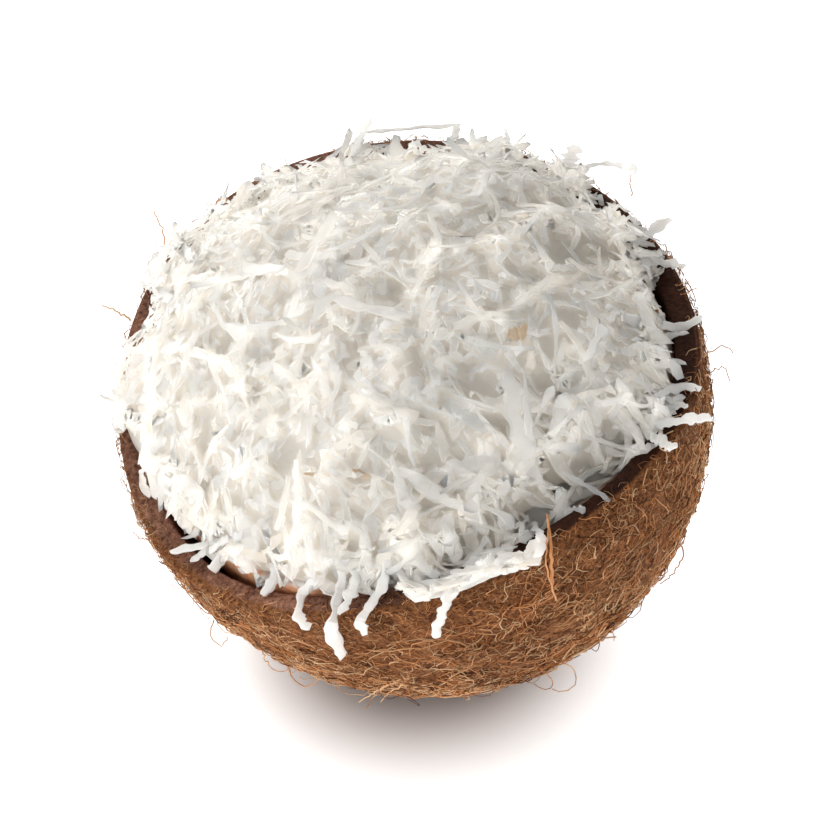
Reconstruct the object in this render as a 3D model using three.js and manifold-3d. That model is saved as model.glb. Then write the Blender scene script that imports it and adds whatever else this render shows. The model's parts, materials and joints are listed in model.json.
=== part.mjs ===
// Half a coconut: a hairy brown shell, its lining of white flesh, and a heap of shredded coconut in it.
// Millimetres, +Z up. The half leans over, and rests on a small flat spot whose centre is the origin.
// Every shape is first worked out in the half's own frame: the middle of the cut edge is the origin
// there, and +Z comes out of the opening. The lean turns all of it at the end.

import * as THREE from 'three';
import { mergeVertices } from 'three/addons/utils/BufferGeometryUtils.js';
import Module from 'manifold-3d';

const wasm = await Module();
wasm.setup();

const { degToRad, lerp, clamp } = THREE.MathUtils;

// The shell: an oval, slightly three-lobed bowl whose cut edge isn't flat. Turns are in degrees.
const SHELL_RADIUS = 60;
const SHELL_DEPTH = 64.2;
const WIDEST_BELOW_EDGE = 1.9;
const OVAL = { share: 0.0556, turn: 105.8 };
const LOBES = { share: 0.0145, turn: 77.3 };
const EDGE_WAVE = { height: 5.0, turn: 123.7 };
const EDGE_RIPPLE = { height: 1.25, turn: 27.8 };
const SHELL_WALL = 5.5;
const EDGE_CROWN = 0.35;
const FIBRE_RELIEF = 1.1;

// The flesh: an even lining, a little below the shell's edge. In places it lies deeper, stands above the
// edge, or has drawn away from the shell.
const SEAM_GAP = 0.5;
const FLESH_WALL = 10;
const FLESH_DROP = 0.8;
const FLESH_ROUNDING = 2.2;
const DROP_CHANGES = [
  { turn: -52, width: 34, amount: 2.4 },
  { turn: -4, width: 20, amount: 1.2 },
  { turn: -117, width: 22, amount: -2.6 },
];
const CREVICES = [
  { turn: -141, width: 20, amount: 1.9 },
  { turn: -52, width: 30, amount: 0.8 },
];
const CREVICE_DEPTH_SHARE = 0.3;

// The heap: how high it rises, how far it spreads, and where it spreads less or more.
const HEAP_HEIGHT = 25;
const HEAP_SPREAD = 57;
const HEAP_FULLNESS = 2.4;
const HEAP_LUMP = 1.2;
const SPREAD_CHANGES = [
  { turn: -56, width: 21, amount: -9.5 },
  { turn: -78, width: 16, amount: -4 },
  { turn: -120, width: 14, amount: -5 },
  { turn: -147, width: 15, amount: -8 },
  { turn: -168, width: 10, amount: -3 },
  { turn: 8, width: 18, amount: -4 },
  { turn: 33, width: 9, amount: -5 },
  { turn: 86, width: 8, amount: -5.5 },
  { turn: 95, width: 45, amount: -5.5 },
  { turn: 105, width: 7, amount: -3.5 },
  { turn: 126, width: 8, amount: -5 },
  { turn: 159, width: 8, amount: -5.5 },
  { turn: 178, width: 22, amount: 2 },
];
const CORE_SKIN = 0.7;
const CORE_INDENT = 3.5;
const CORE_CLEARANCE = 0.7;
const HEAP_GAP = 0.4;

// The shreds, from the largest to the smallest.
const SHRED_COUNT = 118;
const SHRED_LENGTH = { largest: 21, smallest: 12 };
const SHRED_WIDTH = { largest: 3.2, smallest: 2.2 };
const SHRED_THICKNESS = 0.8;
const SHRED_STEPS = 3;
const EDGE_SHRED_STEPS = 5;
const EDGE_SHRED_ROOT = 5;
const SHRED_CLEARANCE = 0.55;
const SEED = 20261;

// Long shreds that lie over the edge: where each leaves the heap, bends and ends. Out is measured
// outwards from the shell's outside, and rise upwards from the cut edge.
const EDGE_SHREDS = [
  {
    from: { turn: -112, out: -11, rise: 5 },
    bend: { turn: -109, out: -1, rise: 3 },
    to: { turn: -108, out: 2.6, rise: -2.5 },
  },
  {
    from: { turn: -105, out: -12, rise: 6 },
    bend: { turn: -103, out: 2, rise: 3.5 },
    to: { turn: -101, out: 2.6, rise: -9 },
  },
  {
    from: { turn: -94, out: -9, rise: 5 },
    bend: { turn: -97, out: 1, rise: 3.2 },
    to: { turn: -98, out: 2.6, rise: -4 },
  },
  {
    from: { turn: -80, out: -9, rise: 5 },
    bend: { turn: -84, out: 2, rise: 3.2 },
    to: { turn: -86, out: 2.6, rise: -6.5 },
  },
  {
    from: { turn: -92, out: -9, rise: 4 },
    bend: { turn: -80, out: -5, rise: 1.8 },
    to: { turn: -66, out: -1, rise: 3 },
  },
  {
    from: { turn: -126, out: -9, rise: 6 },
    bend: { turn: -134, out: -6, rise: 2.6 },
    to: { turn: -141, out: -3, rise: 1.6 },
  },
  {
    from: { turn: -12, out: -14, rise: 7 },
    bend: { turn: -10, out: -7, rise: 4.5 },
    to: { turn: -9, out: -0.5, rise: 2 },
  },
  {
    from: { turn: -24, out: -16, rise: 8 },
    bend: { turn: -26, out: -7, rise: 4 },
    to: { turn: -27, out: 0.5, rise: 1.6 },
  },
  {
    from: { turn: -27, out: -15, rise: 7 },
    bend: { turn: -29, out: -5, rise: 3.5 },
    to: { turn: -31, out: 3, rise: 1.8 },
  },
  {
    from: { turn: 92, out: -6, rise: 5 },
    bend: { turn: 85, out: -2.5, rise: 3.6 },
    to: { turn: 74, out: -2, rise: 3.2 },
  },
  {
    from: { turn: 49, out: -8, rise: 6 },
    bend: { turn: 42, out: -4, rise: 4 },
    to: { turn: 30, out: -4, rise: 3.4 },
  },
];

// How the half leans, towards which side, and how much of its round bottom the flat spot takes off.
const LEAN = { angle: 23.2, turn: -130.05 };
const FLAT_SPOT_DEPTH = 2.5;

// How finely the round shapes are divided.
const SHELL_COLUMNS = 64;
const SHELL_OUTER_ROWS = 13;
const INNER_ROWS = 9;
const FLESH_COLUMNS = 44;
const CORE_COLUMNS = 48;
const DOME_ROWS = 7;

// Repeatable random numbers from 0 to 1.
function randomFrom(seed) {
  let state = seed;
  return () => {
    state = (state * 1664525 + 1013904223) % 4294967296;
    return state / 4294967296;
  };
}

// How much of a local change is felt at a turn: all of it at its middle, fading to both sides.
function localChange(changes, turn) {
  let sum = 0;
  for (const change of changes) {
    const away = turn - degToRad(change.turn);
    const nearest = Math.atan2(Math.sin(away), Math.cos(away));
    sum += change.amount * Math.exp(-((nearest / degToRad(change.width)) ** 2));
  }
  return sum;
}

// The outline of the nut across its axis, as a share of its mean radius.
function outline(turn) {
  const oval = OVAL.share * Math.cos(2 * (turn - degToRad(OVAL.turn)));
  const lobes = LOBES.share * Math.cos(3 * (turn - degToRad(LOBES.turn)));
  return 1 + oval + lobes;
}

// The height of the cut edge, which dips and rises as it goes round.
function edgeHeight(turn) {
  const wave = EDGE_WAVE.height * Math.cos(2 * (turn - degToRad(EDGE_WAVE.turn)));
  const ripple = EDGE_RIPPLE.height * Math.cos(3 * (turn - degToRad(EDGE_RIPPLE.turn)));
  return wave + ripple;
}

// A point of the nut's wall, inset from its outer skin. Down runs from 0 at the top edge, which lies
// drop below the cut edge, to 1 at the bottom.
function wallPoint(turn, down, inset, drop) {
  const depth = SHELL_DEPTH - inset;
  const edgeSlope = Math.asin((edgeHeight(turn) - drop + WIDEST_BELOW_EDGE) / depth);
  const slope = lerp(edgeSlope, -Math.PI / 2, down);
  const radius = (SHELL_RADIUS * outline(turn) - inset) * Math.cos(slope);
  const height = depth * Math.sin(slope) - WIDEST_BELOW_EDGE;
  return new THREE.Vector3(radius * Math.cos(turn), radius * Math.sin(turn), height);
}

// The radius of the wall at a height, inset from the outer skin.
function wallRadius(turn, height, inset) {
  const share = (height + WIDEST_BELOW_EDGE) / (SHELL_DEPTH - inset);
  return (SHELL_RADIUS * outline(turn) - inset) * Math.sqrt(Math.max(0, 1 - share * share));
}

// A lathed skin from axis to axis, with each ring then placed by its own function of the turn.
function lathed(rings, columns) {
  const last = rings.length - 1;
  const profile = rings.map((ring, row) => new THREE.Vector2(row === 0 || row === last ? 0 : 1, row));
  const geometry = new THREE.LatheGeometry(profile, columns);
  const position = geometry.getAttribute('position');
  for (let i = 0; i < position.count; i += 1) {
    const ring = rings[i % rings.length];
    const column = Math.floor(i / rings.length) % columns;
    const point = ring((2 * Math.PI * column) / columns, column);
    position.setXYZ(i, point.x, point.y, point.z);
  }
  return geometry;
}

// A closed geometry as a solid for joining and cutting. Triangles without area are left out.
function toSolid(geometry) {
  const bare = geometry.clone();
  bare.deleteAttribute('normal');
  bare.deleteAttribute('uv');
  const merged = mergeVertices(bare, 1e-4);
  const index = merged.index.array;
  const kept = [];
  for (let i = 0; i < index.length; i += 3) {
    const [a, b, c] = [index[i], index[i + 1], index[i + 2]];
    if (a !== b && b !== c && c !== a) kept.push(a, b, c);
  }
  const vertProperties = new Float32Array(merged.getAttribute('position').array);
  return new wasm.Manifold(new wasm.Mesh({ numProp: 3, vertProperties, triVerts: new Uint32Array(kept) }));
}

// A solid back as a geometry.
function toGeometry(solid) {
  const mesh = solid.getMesh();
  const geometry = new THREE.BufferGeometry();
  geometry.setAttribute('position', new THREE.BufferAttribute(new Float32Array(mesh.vertProperties), 3));
  geometry.setIndex(new THREE.BufferAttribute(new Uint32Array(mesh.triVerts), 1));
  geometry.computeVertexNormals();
  return geometry;
}

// The shell, from the middle of its outside, over the cut edge, to the middle of its inside.
// Its outside is matted with fibre, so each point stands out by its own amount.
function makeShell() {
  const random = randomFrom(SEED);
  const rings = [];
  for (let row = 0; row < SHELL_OUTER_ROWS; row += 1) {
    const down = 1 - row / SHELL_OUTER_ROWS;
    const relief = Array.from({ length: SHELL_COLUMNS }, () => {
      const share = row === 0 ? 0.5 : random();
      return share * FIBRE_RELIEF;
    });
    rings.push((turn, column) => wallPoint(turn, down, -relief[column], 0));
  }
  const edgeRelief = Array.from({ length: SHELL_COLUMNS }, () => (random() - 0.3) * FIBRE_RELIEF * 0.5);
  rings.push((turn, column) => wallPoint(turn, 0, -edgeRelief[column], edgeRelief[column] * 0.5));
  rings.push((turn) => wallPoint(turn, 0, SHELL_WALL * 0.45, -EDGE_CROWN));
  for (let row = 0; row <= INNER_ROWS; row += 1) {
    rings.push((turn) => wallPoint(turn, row / INNER_ROWS, SHELL_WALL, 0));
  }
  return lathed(rings, SHELL_COLUMNS);
}

// How far the flesh's top lies below the cut edge.
function fleshDrop(turn) {
  return FLESH_DROP + localChange(DROP_CHANGES, turn);
}

// How far the higher of shell and flesh stands above the cut edge.
function edgeRise(turn) {
  return Math.max(EDGE_CROWN, -fleshDrop(turn));
}

// The flesh, from the middle of its outside, over its rounded top, to the middle of its inside.
function makeFlesh() {
  const outside = SHELL_WALL + SEAM_GAP;
  const inside = outside + FLESH_WALL;
  const crevice = (turn, down) => {
    const fade = clamp(1 - down / CREVICE_DEPTH_SHARE, 0, 1);
    return localChange(CREVICES, turn) * fade;
  };
  const rings = [];
  for (let row = 0; row <= INNER_ROWS; row += 1) {
    const down = 1 - row / INNER_ROWS;
    rings.push((turn) => {
      const inset = outside + crevice(turn, down);
      return wallPoint(turn, down, inset, fleshDrop(turn) + FLESH_ROUNDING * 0.5);
    });
  }
  const tops = [
    { across: 0.1, below: 0.1 },
    { across: 0.5, below: 0 },
    { across: 0.88, below: 0.35 },
  ];
  for (const top of tops) {
    rings.push((turn) => {
      const inset = lerp(outside + crevice(turn, 0), inside, top.across);
      return wallPoint(turn, 0, inset, fleshDrop(turn) + FLESH_ROUNDING * top.below);
    });
  }
  for (let row = 0; row <= INNER_ROWS; row += 1) {
    rings.push((turn) => wallPoint(turn, row / INNER_ROWS, inside, fleshDrop(turn) + FLESH_ROUNDING));
  }
  return lathed(rings, FLESH_COLUMNS);
}

// How far the heap spreads at a turn.
function heapSpread(turn) {
  return HEAP_SPREAD * outline(turn) ** 0.5 + localChange(SPREAD_CHANGES, turn);
}

// The height of the heap's surface: a full dome with low lumps, whose foot follows the cut edge.
function heapHeight(x, y) {
  const turn = Math.atan2(y, x);
  const share = Math.min(1, Math.hypot(x, y) / heapSpread(turn));
  const dome = HEAP_HEIGHT * (1 - share ** HEAP_FULLNESS);
  const lumps = Math.sin(x * 0.17 + 1.1) * Math.sin(y * 0.19 - 0.4) + 0.6 * Math.sin(x * 0.31 - y * 0.27);
  return dome + HEAP_LUMP * lumps * (1 - share ** 4) + edgeHeight(turn) * share * share;
}

// The direction square to the heap's surface.
function heapNormal(x, y) {
  const step = 0.5;
  const slopeX = (heapHeight(x + step, y) - heapHeight(x - step, y)) / (2 * step);
  const slopeY = (heapHeight(x, y + step) - heapHeight(x, y - step)) / (2 * step);
  return new THREE.Vector3(-slopeX, -slopeY, 1).normalize();
}

// The heap's core: it fills the hollow in the flesh and rises to just under the heap's surface.
function makeCore() {
  const inset = SHELL_WALL + SEAM_GAP + FLESH_WALL + HEAP_GAP;
  const rings = [];
  for (let row = 0; row <= INNER_ROWS; row += 1) {
    const down = 1 - row / INNER_ROWS;
    rings.push((turn) => wallPoint(turn, down, inset, fleshDrop(turn) + FLESH_ROUNDING));
  }
  rings.push((turn) => wallPoint(turn, 0, inset, -edgeRise(turn) - CORE_CLEARANCE));
  for (let row = 0; row <= DOME_ROWS; row += 1) {
    const out = Math.cos((Math.PI / 2) * (row / DOME_ROWS));
    rings.push((turn) => {
      const reach = out * (heapSpread(turn) - CORE_INDENT);
      const x = reach * Math.cos(turn);
      const y = reach * Math.sin(turn);
      const lowest = edgeHeight(turn) + edgeRise(turn) + CORE_CLEARANCE;
      const surface = heapHeight(x, y) - CORE_SKIN;
      return new THREE.Vector3(x, y, row < 2 ? Math.max(lowest, surface) : surface);
    });
  }
  return lathed(rings, CORE_COLUMNS);
}

// A strip bent along a curve: flat, thin, narrower at its ends, and twisted by a given angle.
function makeStrip(curve, up, width, twist, steps) {
  const geometry = new THREE.BoxGeometry(1, width, SHRED_THICKNESS, steps, 1, 1);
  const position = geometry.getAttribute('position');
  for (let i = 0; i < position.count; i += 1) {
    const along = position.getX(i) + 0.5;
    const tangent = curve.getTangent(along);
    const side = new THREE.Vector3().crossVectors(up, tangent).normalize();
    side.applyAxisAngle(tangent, twist * (along - 0.5));
    const face = new THREE.Vector3().crossVectors(tangent, side);
    const taper = 1 - 0.4 * (2 * along - 1) ** 2;
    const point = curve.getPoint(along);
    point.addScaledVector(side, position.getY(i) * taper);
    point.addScaledVector(face, position.getZ(i));
    position.setXYZ(i, point.x, point.y, point.z);
  }
  return geometry;
}

// Whether a point keeps clear of shell and flesh: above the edge, inside the hollow, or outside.
function isClear(point) {
  const turn = Math.atan2(point.y, point.x);
  const reach = Math.hypot(point.x, point.y);
  if (point.z > edgeHeight(turn) + edgeRise(turn) + SHRED_CLEARANCE) return true;
  const outside = wallRadius(turn, point.z, 0) + FIBRE_RELIEF + SHRED_CLEARANCE;
  const inside = wallRadius(turn, point.z, SHELL_WALL + SEAM_GAP + FLESH_WALL) - SHRED_CLEARANCE;
  return reach > outside || reach < inside;
}

// Whether a whole strip is clear, tested at its corners and at points between them.
function isStripClear(curve, width) {
  const half = new THREE.Vector3(0, 0, 1).multiplyScalar(SHRED_THICKNESS);
  for (let i = 0; i <= 12; i += 1) {
    const point = curve.getPoint(i / 12);
    const tangent = curve.getTangent(i / 12);
    const side = new THREE.Vector3(-tangent.y, tangent.x, 0).multiplyScalar(width / 2);
    for (const sign of [-1, 0, 1]) {
      const edge = point.clone().addScaledVector(side, sign);
      if (!isClear(edge) || !isClear(edge.clone().sub(half))) return false;
    }
  }
  return true;
}

// A shred that lies on the heap: its middle on the core, its ends bent away by different amounts.
function heapShredCurve(spot, heading, length, pitch, bow) {
  const normal = heapNormal(spot.x, spot.y);
  const across = new THREE.Vector3(Math.cos(heading), Math.sin(heading), 0);
  const along = across.addScaledVector(normal, -across.dot(normal)).normalize();
  along.multiplyScalar(Math.cos(pitch)).addScaledVector(normal, Math.sin(pitch));
  const start = spot.clone().addScaledVector(along, -length / 2);
  const end = spot.clone().addScaledVector(along, length / 2);
  const middle = spot.clone().addScaledVector(normal, bow);
  return new THREE.QuadraticBezierCurve3(start, middle, end);
}

// The shreds of the heap, the largest first, spread evenly over it whatever their number. One that
// would cross shell or flesh is lifted, then shortened, and left out if it still doesn't fit.
function makeHeapShreds() {
  const random = randomFrom(SEED + 1);
  const strips = [];
  for (let i = 0; i < SHRED_COUNT; i += 1) {
    const size = i / (SHRED_COUNT - 1);
    const turn = 2 * Math.PI * ((0.5 + i * 0.7548776662) % 1);
    const out = ((0.5 + i * 0.569840291) % 1) ** 0.45;
    const reach = out * (heapSpread(turn) - 1.5);
    const width = lerp(SHRED_WIDTH.largest, SHRED_WIDTH.smallest, size);
    const length = lerp(SHRED_LENGTH.largest, SHRED_LENGTH.smallest, size);
    const heading = 2 * Math.PI * random();
    const pitch = degToRad(-6 + 30 * random() * random());
    const bow = lerp(-0.4, 2.4, random());
    const twist = degToRad(lerp(-50, 50, random()));
    const x = reach * Math.cos(turn);
    const y = reach * Math.sin(turn);
    for (let attempt = 0; attempt < 8; attempt += 1) {
      const lift = attempt < 4 ? attempt * 0.8 : (attempt - 4) * 0.8;
      const spot = new THREE.Vector3(x, y, heapHeight(x, y) - CORE_SKIN + 0.3 + lift);
      const curve = heapShredCurve(spot, heading, attempt < 4 ? length : length * 0.6, pitch, bow);
      if (isStripClear(curve, width)) {
        strips.push(makeStrip(curve, heapNormal(x, y), width, twist, SHRED_STEPS));
        break;
      }
    }
  }
  return strips;
}

// A point near the cut edge, given by its turn, how far outside the shell and how high it lies.
function nearEdge(place) {
  const turn = degToRad(place.turn);
  const height = edgeHeight(turn) + place.rise;
  const reach = SHELL_RADIUS * outline(turn) + place.out;
  return new THREE.Vector3(reach * Math.cos(turn), reach * Math.sin(turn), height);
}

// A point on the core, a little way in from its border, where a shred over the edge is rooted.
function onCore(turn) {
  const reach = heapSpread(turn) - CORE_INDENT - EDGE_SHRED_ROOT;
  const x = reach * Math.cos(turn);
  const y = reach * Math.sin(turn);
  return new THREE.Vector3(x, y, heapHeight(x, y) - CORE_SKIN);
}

// The long shreds over the edge.
function makeEdgeShreds() {
  const up = new THREE.Vector3(0, 0, 1);
  return EDGE_SHREDS.map((shred) => {
    const path = [onCore(degToRad(shred.from.turn)), ...[shred.from, shred.bend, shred.to].map(nearEdge)];
    const outward = path[2].clone().setZ(0).normalize();
    const curve = new THREE.CatmullRomCurve3(path);
    return makeStrip(curve, up.clone().add(outward), SHRED_WIDTH.smallest, 0, EDGE_SHRED_STEPS);
  });
}

// The heap: the core with all its shreds fused on, as one body.
function makeHeap() {
  const strips = [...makeEdgeShreds(), ...makeHeapShreds()];
  let heap = toSolid(makeCore());
  for (const strip of strips) {
    heap = heap.add(toSolid(strip));
  }
  const bodies = heap.decompose();
  return bodies.reduce((largest, body) => (body.volume() > largest.volume() ? body : largest));
}

const leanTurn = degToRad(LEAN.turn);
const leanAxis = new THREE.Vector3(-Math.sin(leanTurn), Math.cos(leanTurn), 0);
const lean = new THREE.Quaternion().setFromAxisAngle(leanAxis, degToRad(LEAN.angle));

// The flat spot: everything of the leaning shell below one level is cut away.
const leaningShell = makeShell().applyQuaternion(lean);
leaningShell.computeBoundingBox();
const floorLevel = leaningShell.boundingBox.min.z + FLAT_SPOT_DEPTH;
const below = new THREE.BoxGeometry(4 * SHELL_RADIUS, 4 * SHELL_RADIUS, SHELL_RADIUS);
below.translate(0, 0, floorLevel - SHELL_RADIUS / 2);
const shellGeometry = toGeometry(toSolid(leaningShell).subtract(toSolid(below)));
const fleshGeometry = toGeometry(toSolid(makeFlesh())).applyQuaternion(lean);
const heapGeometry = toGeometry(makeHeap()).applyQuaternion(lean);

// The middle of the flat spot, which becomes the origin.
const flatSpot = new THREE.Box3();
const shellPosition = shellGeometry.getAttribute('position');
for (let i = 0; i < shellPosition.count; i += 1) {
  const point = new THREE.Vector3().fromBufferAttribute(shellPosition, i);
  if (point.z < floorLevel + 1e-3) flatSpot.expandByPoint(point);
}
const flatCentre = flatSpot.getCenter(new THREE.Vector3());

function addMesh(group, name, geometry, colour, roughness) {
  const material = new THREE.MeshStandardMaterial({ color: colour, roughness, metalness: 0 });
  const mesh = new THREE.Mesh(geometry, material);
  mesh.name = name;
  group.add(mesh);
}

const halfCoconut = new THREE.Group();
halfCoconut.position.set(-flatCentre.x, -flatCentre.y, -floorLevel);
addMesh(halfCoconut, 'shell', shellGeometry, 0x8c6242, 0.9);
addMesh(halfCoconut, 'flesh', fleshGeometry, 0xf1ece3, 0.55);
addMesh(halfCoconut, 'shreds', heapGeometry, 0xf6f3ec, 0.6);

export default halfCoconut;
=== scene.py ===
# %% [markdown]
# # Half a coconut heaped with shredded coconut
# This lesson dresses three plain solids, a shell, its lining of flesh and a heap of shreds, until they
# look like the real food. The solids come in already packed, and they fix every size and place. We load
# them first.

# %% Load the imported solids
import json
import math

import bpy
import numpy as np
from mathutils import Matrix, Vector

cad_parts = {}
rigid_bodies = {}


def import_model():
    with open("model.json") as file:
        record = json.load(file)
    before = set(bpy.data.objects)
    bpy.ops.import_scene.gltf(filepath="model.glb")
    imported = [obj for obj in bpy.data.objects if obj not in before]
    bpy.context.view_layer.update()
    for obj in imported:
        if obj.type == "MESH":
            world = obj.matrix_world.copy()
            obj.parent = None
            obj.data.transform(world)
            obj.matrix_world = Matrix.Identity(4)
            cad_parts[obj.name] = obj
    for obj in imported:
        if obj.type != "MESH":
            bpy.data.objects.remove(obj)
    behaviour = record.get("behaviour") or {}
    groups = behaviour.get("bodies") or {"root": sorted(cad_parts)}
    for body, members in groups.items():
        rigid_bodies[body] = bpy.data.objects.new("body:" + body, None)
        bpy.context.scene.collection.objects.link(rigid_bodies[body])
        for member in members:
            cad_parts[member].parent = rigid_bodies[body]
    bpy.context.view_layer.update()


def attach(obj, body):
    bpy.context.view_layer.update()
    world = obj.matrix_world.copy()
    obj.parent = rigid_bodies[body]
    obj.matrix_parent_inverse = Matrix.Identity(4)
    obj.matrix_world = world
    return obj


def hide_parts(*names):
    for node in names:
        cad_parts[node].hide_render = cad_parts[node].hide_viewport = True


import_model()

# %% [markdown]
# ## The half's own frame
# The nut leans over on a flat spot, but it is far easier to think about while it stands upright with its
# cut edge at the origin and its opening facing up. So every piece is worked out in that upright frame, in
# millimetres, and one function leans it and moves it into the frame of the solids, in metres.

# %% Lean and place
MM = 0.001
EDGE_CENTRE = np.array((-3.685, -2.109, 63.501))
LEAN_ANGLE = math.radians(23.2)
LEAN_TURN = math.radians(-130.05)


def lean_matrix():
    """The turn that tips the opening over by the lean angle, towards the lean's side."""
    axis = np.array((-math.sin(LEAN_TURN), math.cos(LEAN_TURN), 0.0))
    cross = np.array(((0, -axis[2], axis[1]), (axis[2], 0, -axis[0]), (-axis[1], axis[0], 0)))
    return np.eye(3) + math.sin(LEAN_ANGLE) * cross + (1 - math.cos(LEAN_ANGLE)) * cross @ cross


LEAN = lean_matrix()


def to_part(points):
    """Points of the upright half, in millimetres, as points of the part, in metres."""
    return (np.asarray(points, float) @ LEAN.T + EDGE_CENTRE) * MM


print("the middle of the cut edge lies at", to_part(np.zeros(3)).round(4))

# %% [markdown]
# ## Camera
# The camera stands where the photograph was taken: above the object at the front, looking down on it through
# a long lens. Its place is written as seen from the middle of the cut edge, where the photograph was fitted.

# %% Camera
LENS_MM = 85
SENSOR_MM = 36
CAMERA_FROM_EDGE = np.array((4.241, -330.107, 176.924))
CAMERA_PITCH = math.radians(60)


def add_object(name, data):
    """A new object of the scene that holds a mesh, a lamp or a camera."""
    holder = bpy.data.objects.new(name, data)
    bpy.context.scene.collection.objects.link(holder)
    return holder


camera_data = bpy.data.cameras.new("camera")
camera_data.lens = LENS_MM
camera_data.sensor_width = SENSOR_MM
camera = add_object("camera", camera_data)
camera.location = (EDGE_CENTRE + CAMERA_FROM_EDGE) * MM
camera.rotation_euler = (CAMERA_PITCH, 0, 0)
bpy.context.scene.camera = camera
print("camera at", [round(v, 4) for v in camera.location])

# %% [markdown]
# ## Helpers for nodes
# Every material and every Geometry Nodes tree is made of nodes, filled sockets and links. Three small helpers
# do that from short tables, so that each tree further down reads like a list of what is joined to what. A
# fourth starts a material.

# %% Nodes, sockets and wires
def set_sockets(node, values):
    """Fills inputs of a node by their names."""
    for label, value in values.items():
        node.inputs[label].default_value = value


def add_nodes(tree, **kinds):
    """Several nodes of a tree at once, by a short name and their kind."""
    return {name: tree.nodes.new(kind) for name, kind in kinds.items()}


def wire(tree, nodes, wires):
    """Links nodes. Each wire names a node and its output, then a node and its input."""
    for source, output, target, entry in wires:
        tree.links.new(nodes[source].outputs[output], nodes[target].inputs[entry])


def new_material(name, roughness):
    """A material with nodes, and the shader whose other sockets are still to be filled."""
    material = bpy.data.materials.new(name)
    material.use_nodes = True
    shader = material.node_tree.nodes["Principled BSDF"]
    shader.inputs["Roughness"].default_value = roughness
    return material, shader


# %% [markdown]
# ## Floor and light
# The light is that of a small studio: one large soft lamp from above at the back left, a weaker one low at
# the front left, and a bright white room all round, which keeps the shadows pale. The floor is a white
# sheet with painted light: it glows though it is no lamp. Only in a patch around the place where the object
# stands it doesn't, and that patch, stretched to the shadow's shape, is a painted shadow that fades out
# evenly.

# %% Studio
WHITE = (1, 1, 1, 1)
FLOOR_SIZE = 60.0
FLOOR_COLOUR = (0.88, 0.9, 0.905, 1)
FLOOR_ROUGHNESS = 0.9
# The glow is painted light, and the unlit patch around the object, stretched and faded, is painted shadow.
PAINTED_FLOOR_GLOW = 0.88
PAINTED_SHADOW_RADIUS = 0.022
PAINTED_SHADOW_FADE_RADIUS = 0.056
PAINTED_SHADOW_STRETCH = (1.18, 0.96, 1.0)
ROOM_STRENGTH = 0.4
LAMP_AIM = Vector((0, 0, 0.05))
LAMPS = {
    "key lamp": {"place": (-0.56, 0.78, 0.78), "size": 1.0, "power": 9.1},
    "fill lamp": {"place": (-0.8, -0.6, 0.2), "size": 0.6, "power": 3.4},
}


def make_floor_material():
    """Painted light: white that glows more with the distance from the object, leaving a painted shadow."""
    material, shader = new_material("floor with painted glow and shadow", FLOOR_ROUGHNESS)
    set_sockets(shader, {"Base Color": FLOOR_COLOUR, "Emission Color": WHITE})
    tree = material.node_tree
    nodes = add_nodes(
        tree,
        coordinates="ShaderNodeTexCoord",
        stretch="ShaderNodeVectorMath",
        distance="ShaderNodeVectorMath",
        glow="ShaderNodeMapRange",
    )
    nodes["shader"] = shader
    nodes["stretch"].operation = "MULTIPLY"
    nodes["stretch"].inputs[1].default_value = PAINTED_SHADOW_STRETCH
    nodes["distance"].operation = "LENGTH"
    nodes["glow"].interpolation_type = "SMOOTHSTEP"
    radii = {"From Min": PAINTED_SHADOW_RADIUS, "From Max": PAINTED_SHADOW_FADE_RADIUS}
    set_sockets(nodes["glow"], {**radii, "To Max": PAINTED_FLOOR_GLOW})
    wire(tree, nodes, (
        ("coordinates", "Object", "stretch", 0),
        ("stretch", "Vector", "distance", 0),
        ("distance", "Value", "glow", "Value"),
        ("glow", "Result", "shader", "Emission Strength"),
    ))
    return material


def make_floor():
    """The sheet that the object stands on."""
    half = FLOOR_SIZE / 2
    mesh = bpy.data.meshes.new("floor")
    corners = [(-half, -half, 0), (half, -half, 0), (half, half, 0), (-half, half, 0)]
    mesh.from_pydata(corners, [], [(0, 1, 2, 3)])
    mesh.materials.append(make_floor_material())
    return add_object("floor", mesh)


def add_lamp(name, place, size, power):
    """A square soft lamp that looks at the object."""
    lamp = bpy.data.lights.new(name, "AREA")
    lamp.size = size
    lamp.energy = power
    holder = add_object(name, lamp)
    holder.location = place
    holder.rotation_mode = "QUATERNION"
    holder.rotation_quaternion = (LAMP_AIM - Vector(place)).to_track_quat("-Z", "Y")


floor = make_floor()
room = bpy.data.worlds.new("white room")
room.use_nodes = True
set_sockets(room.node_tree.nodes["Background"], {"Color": WHITE, "Strength": ROOM_STRENGTH})
bpy.context.scene.world = room
for lamp_name, lamp_settings in LAMPS.items():
    add_lamp(lamp_name, **lamp_settings)
bpy.context.scene.view_settings.view_transform = "Standard"
print("the floor is", FLOOR_SIZE, "m wide; lamps:", ", ".join(LAMPS))

# %% [markdown]
# ## Helpers for meshes
# A mesh with a hundred thousand triangles is slow to build face by face, so one helper fills it from whole
# arrays. Smooth random lumps come from a handful of sine waves with seeded directions: unlike plain random
# numbers they have no steps, so they make good relief.

# %% Meshes and lumps
LUMP_RATES = (0.6, 1.5)
LUMP_CREST = 0.5


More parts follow.
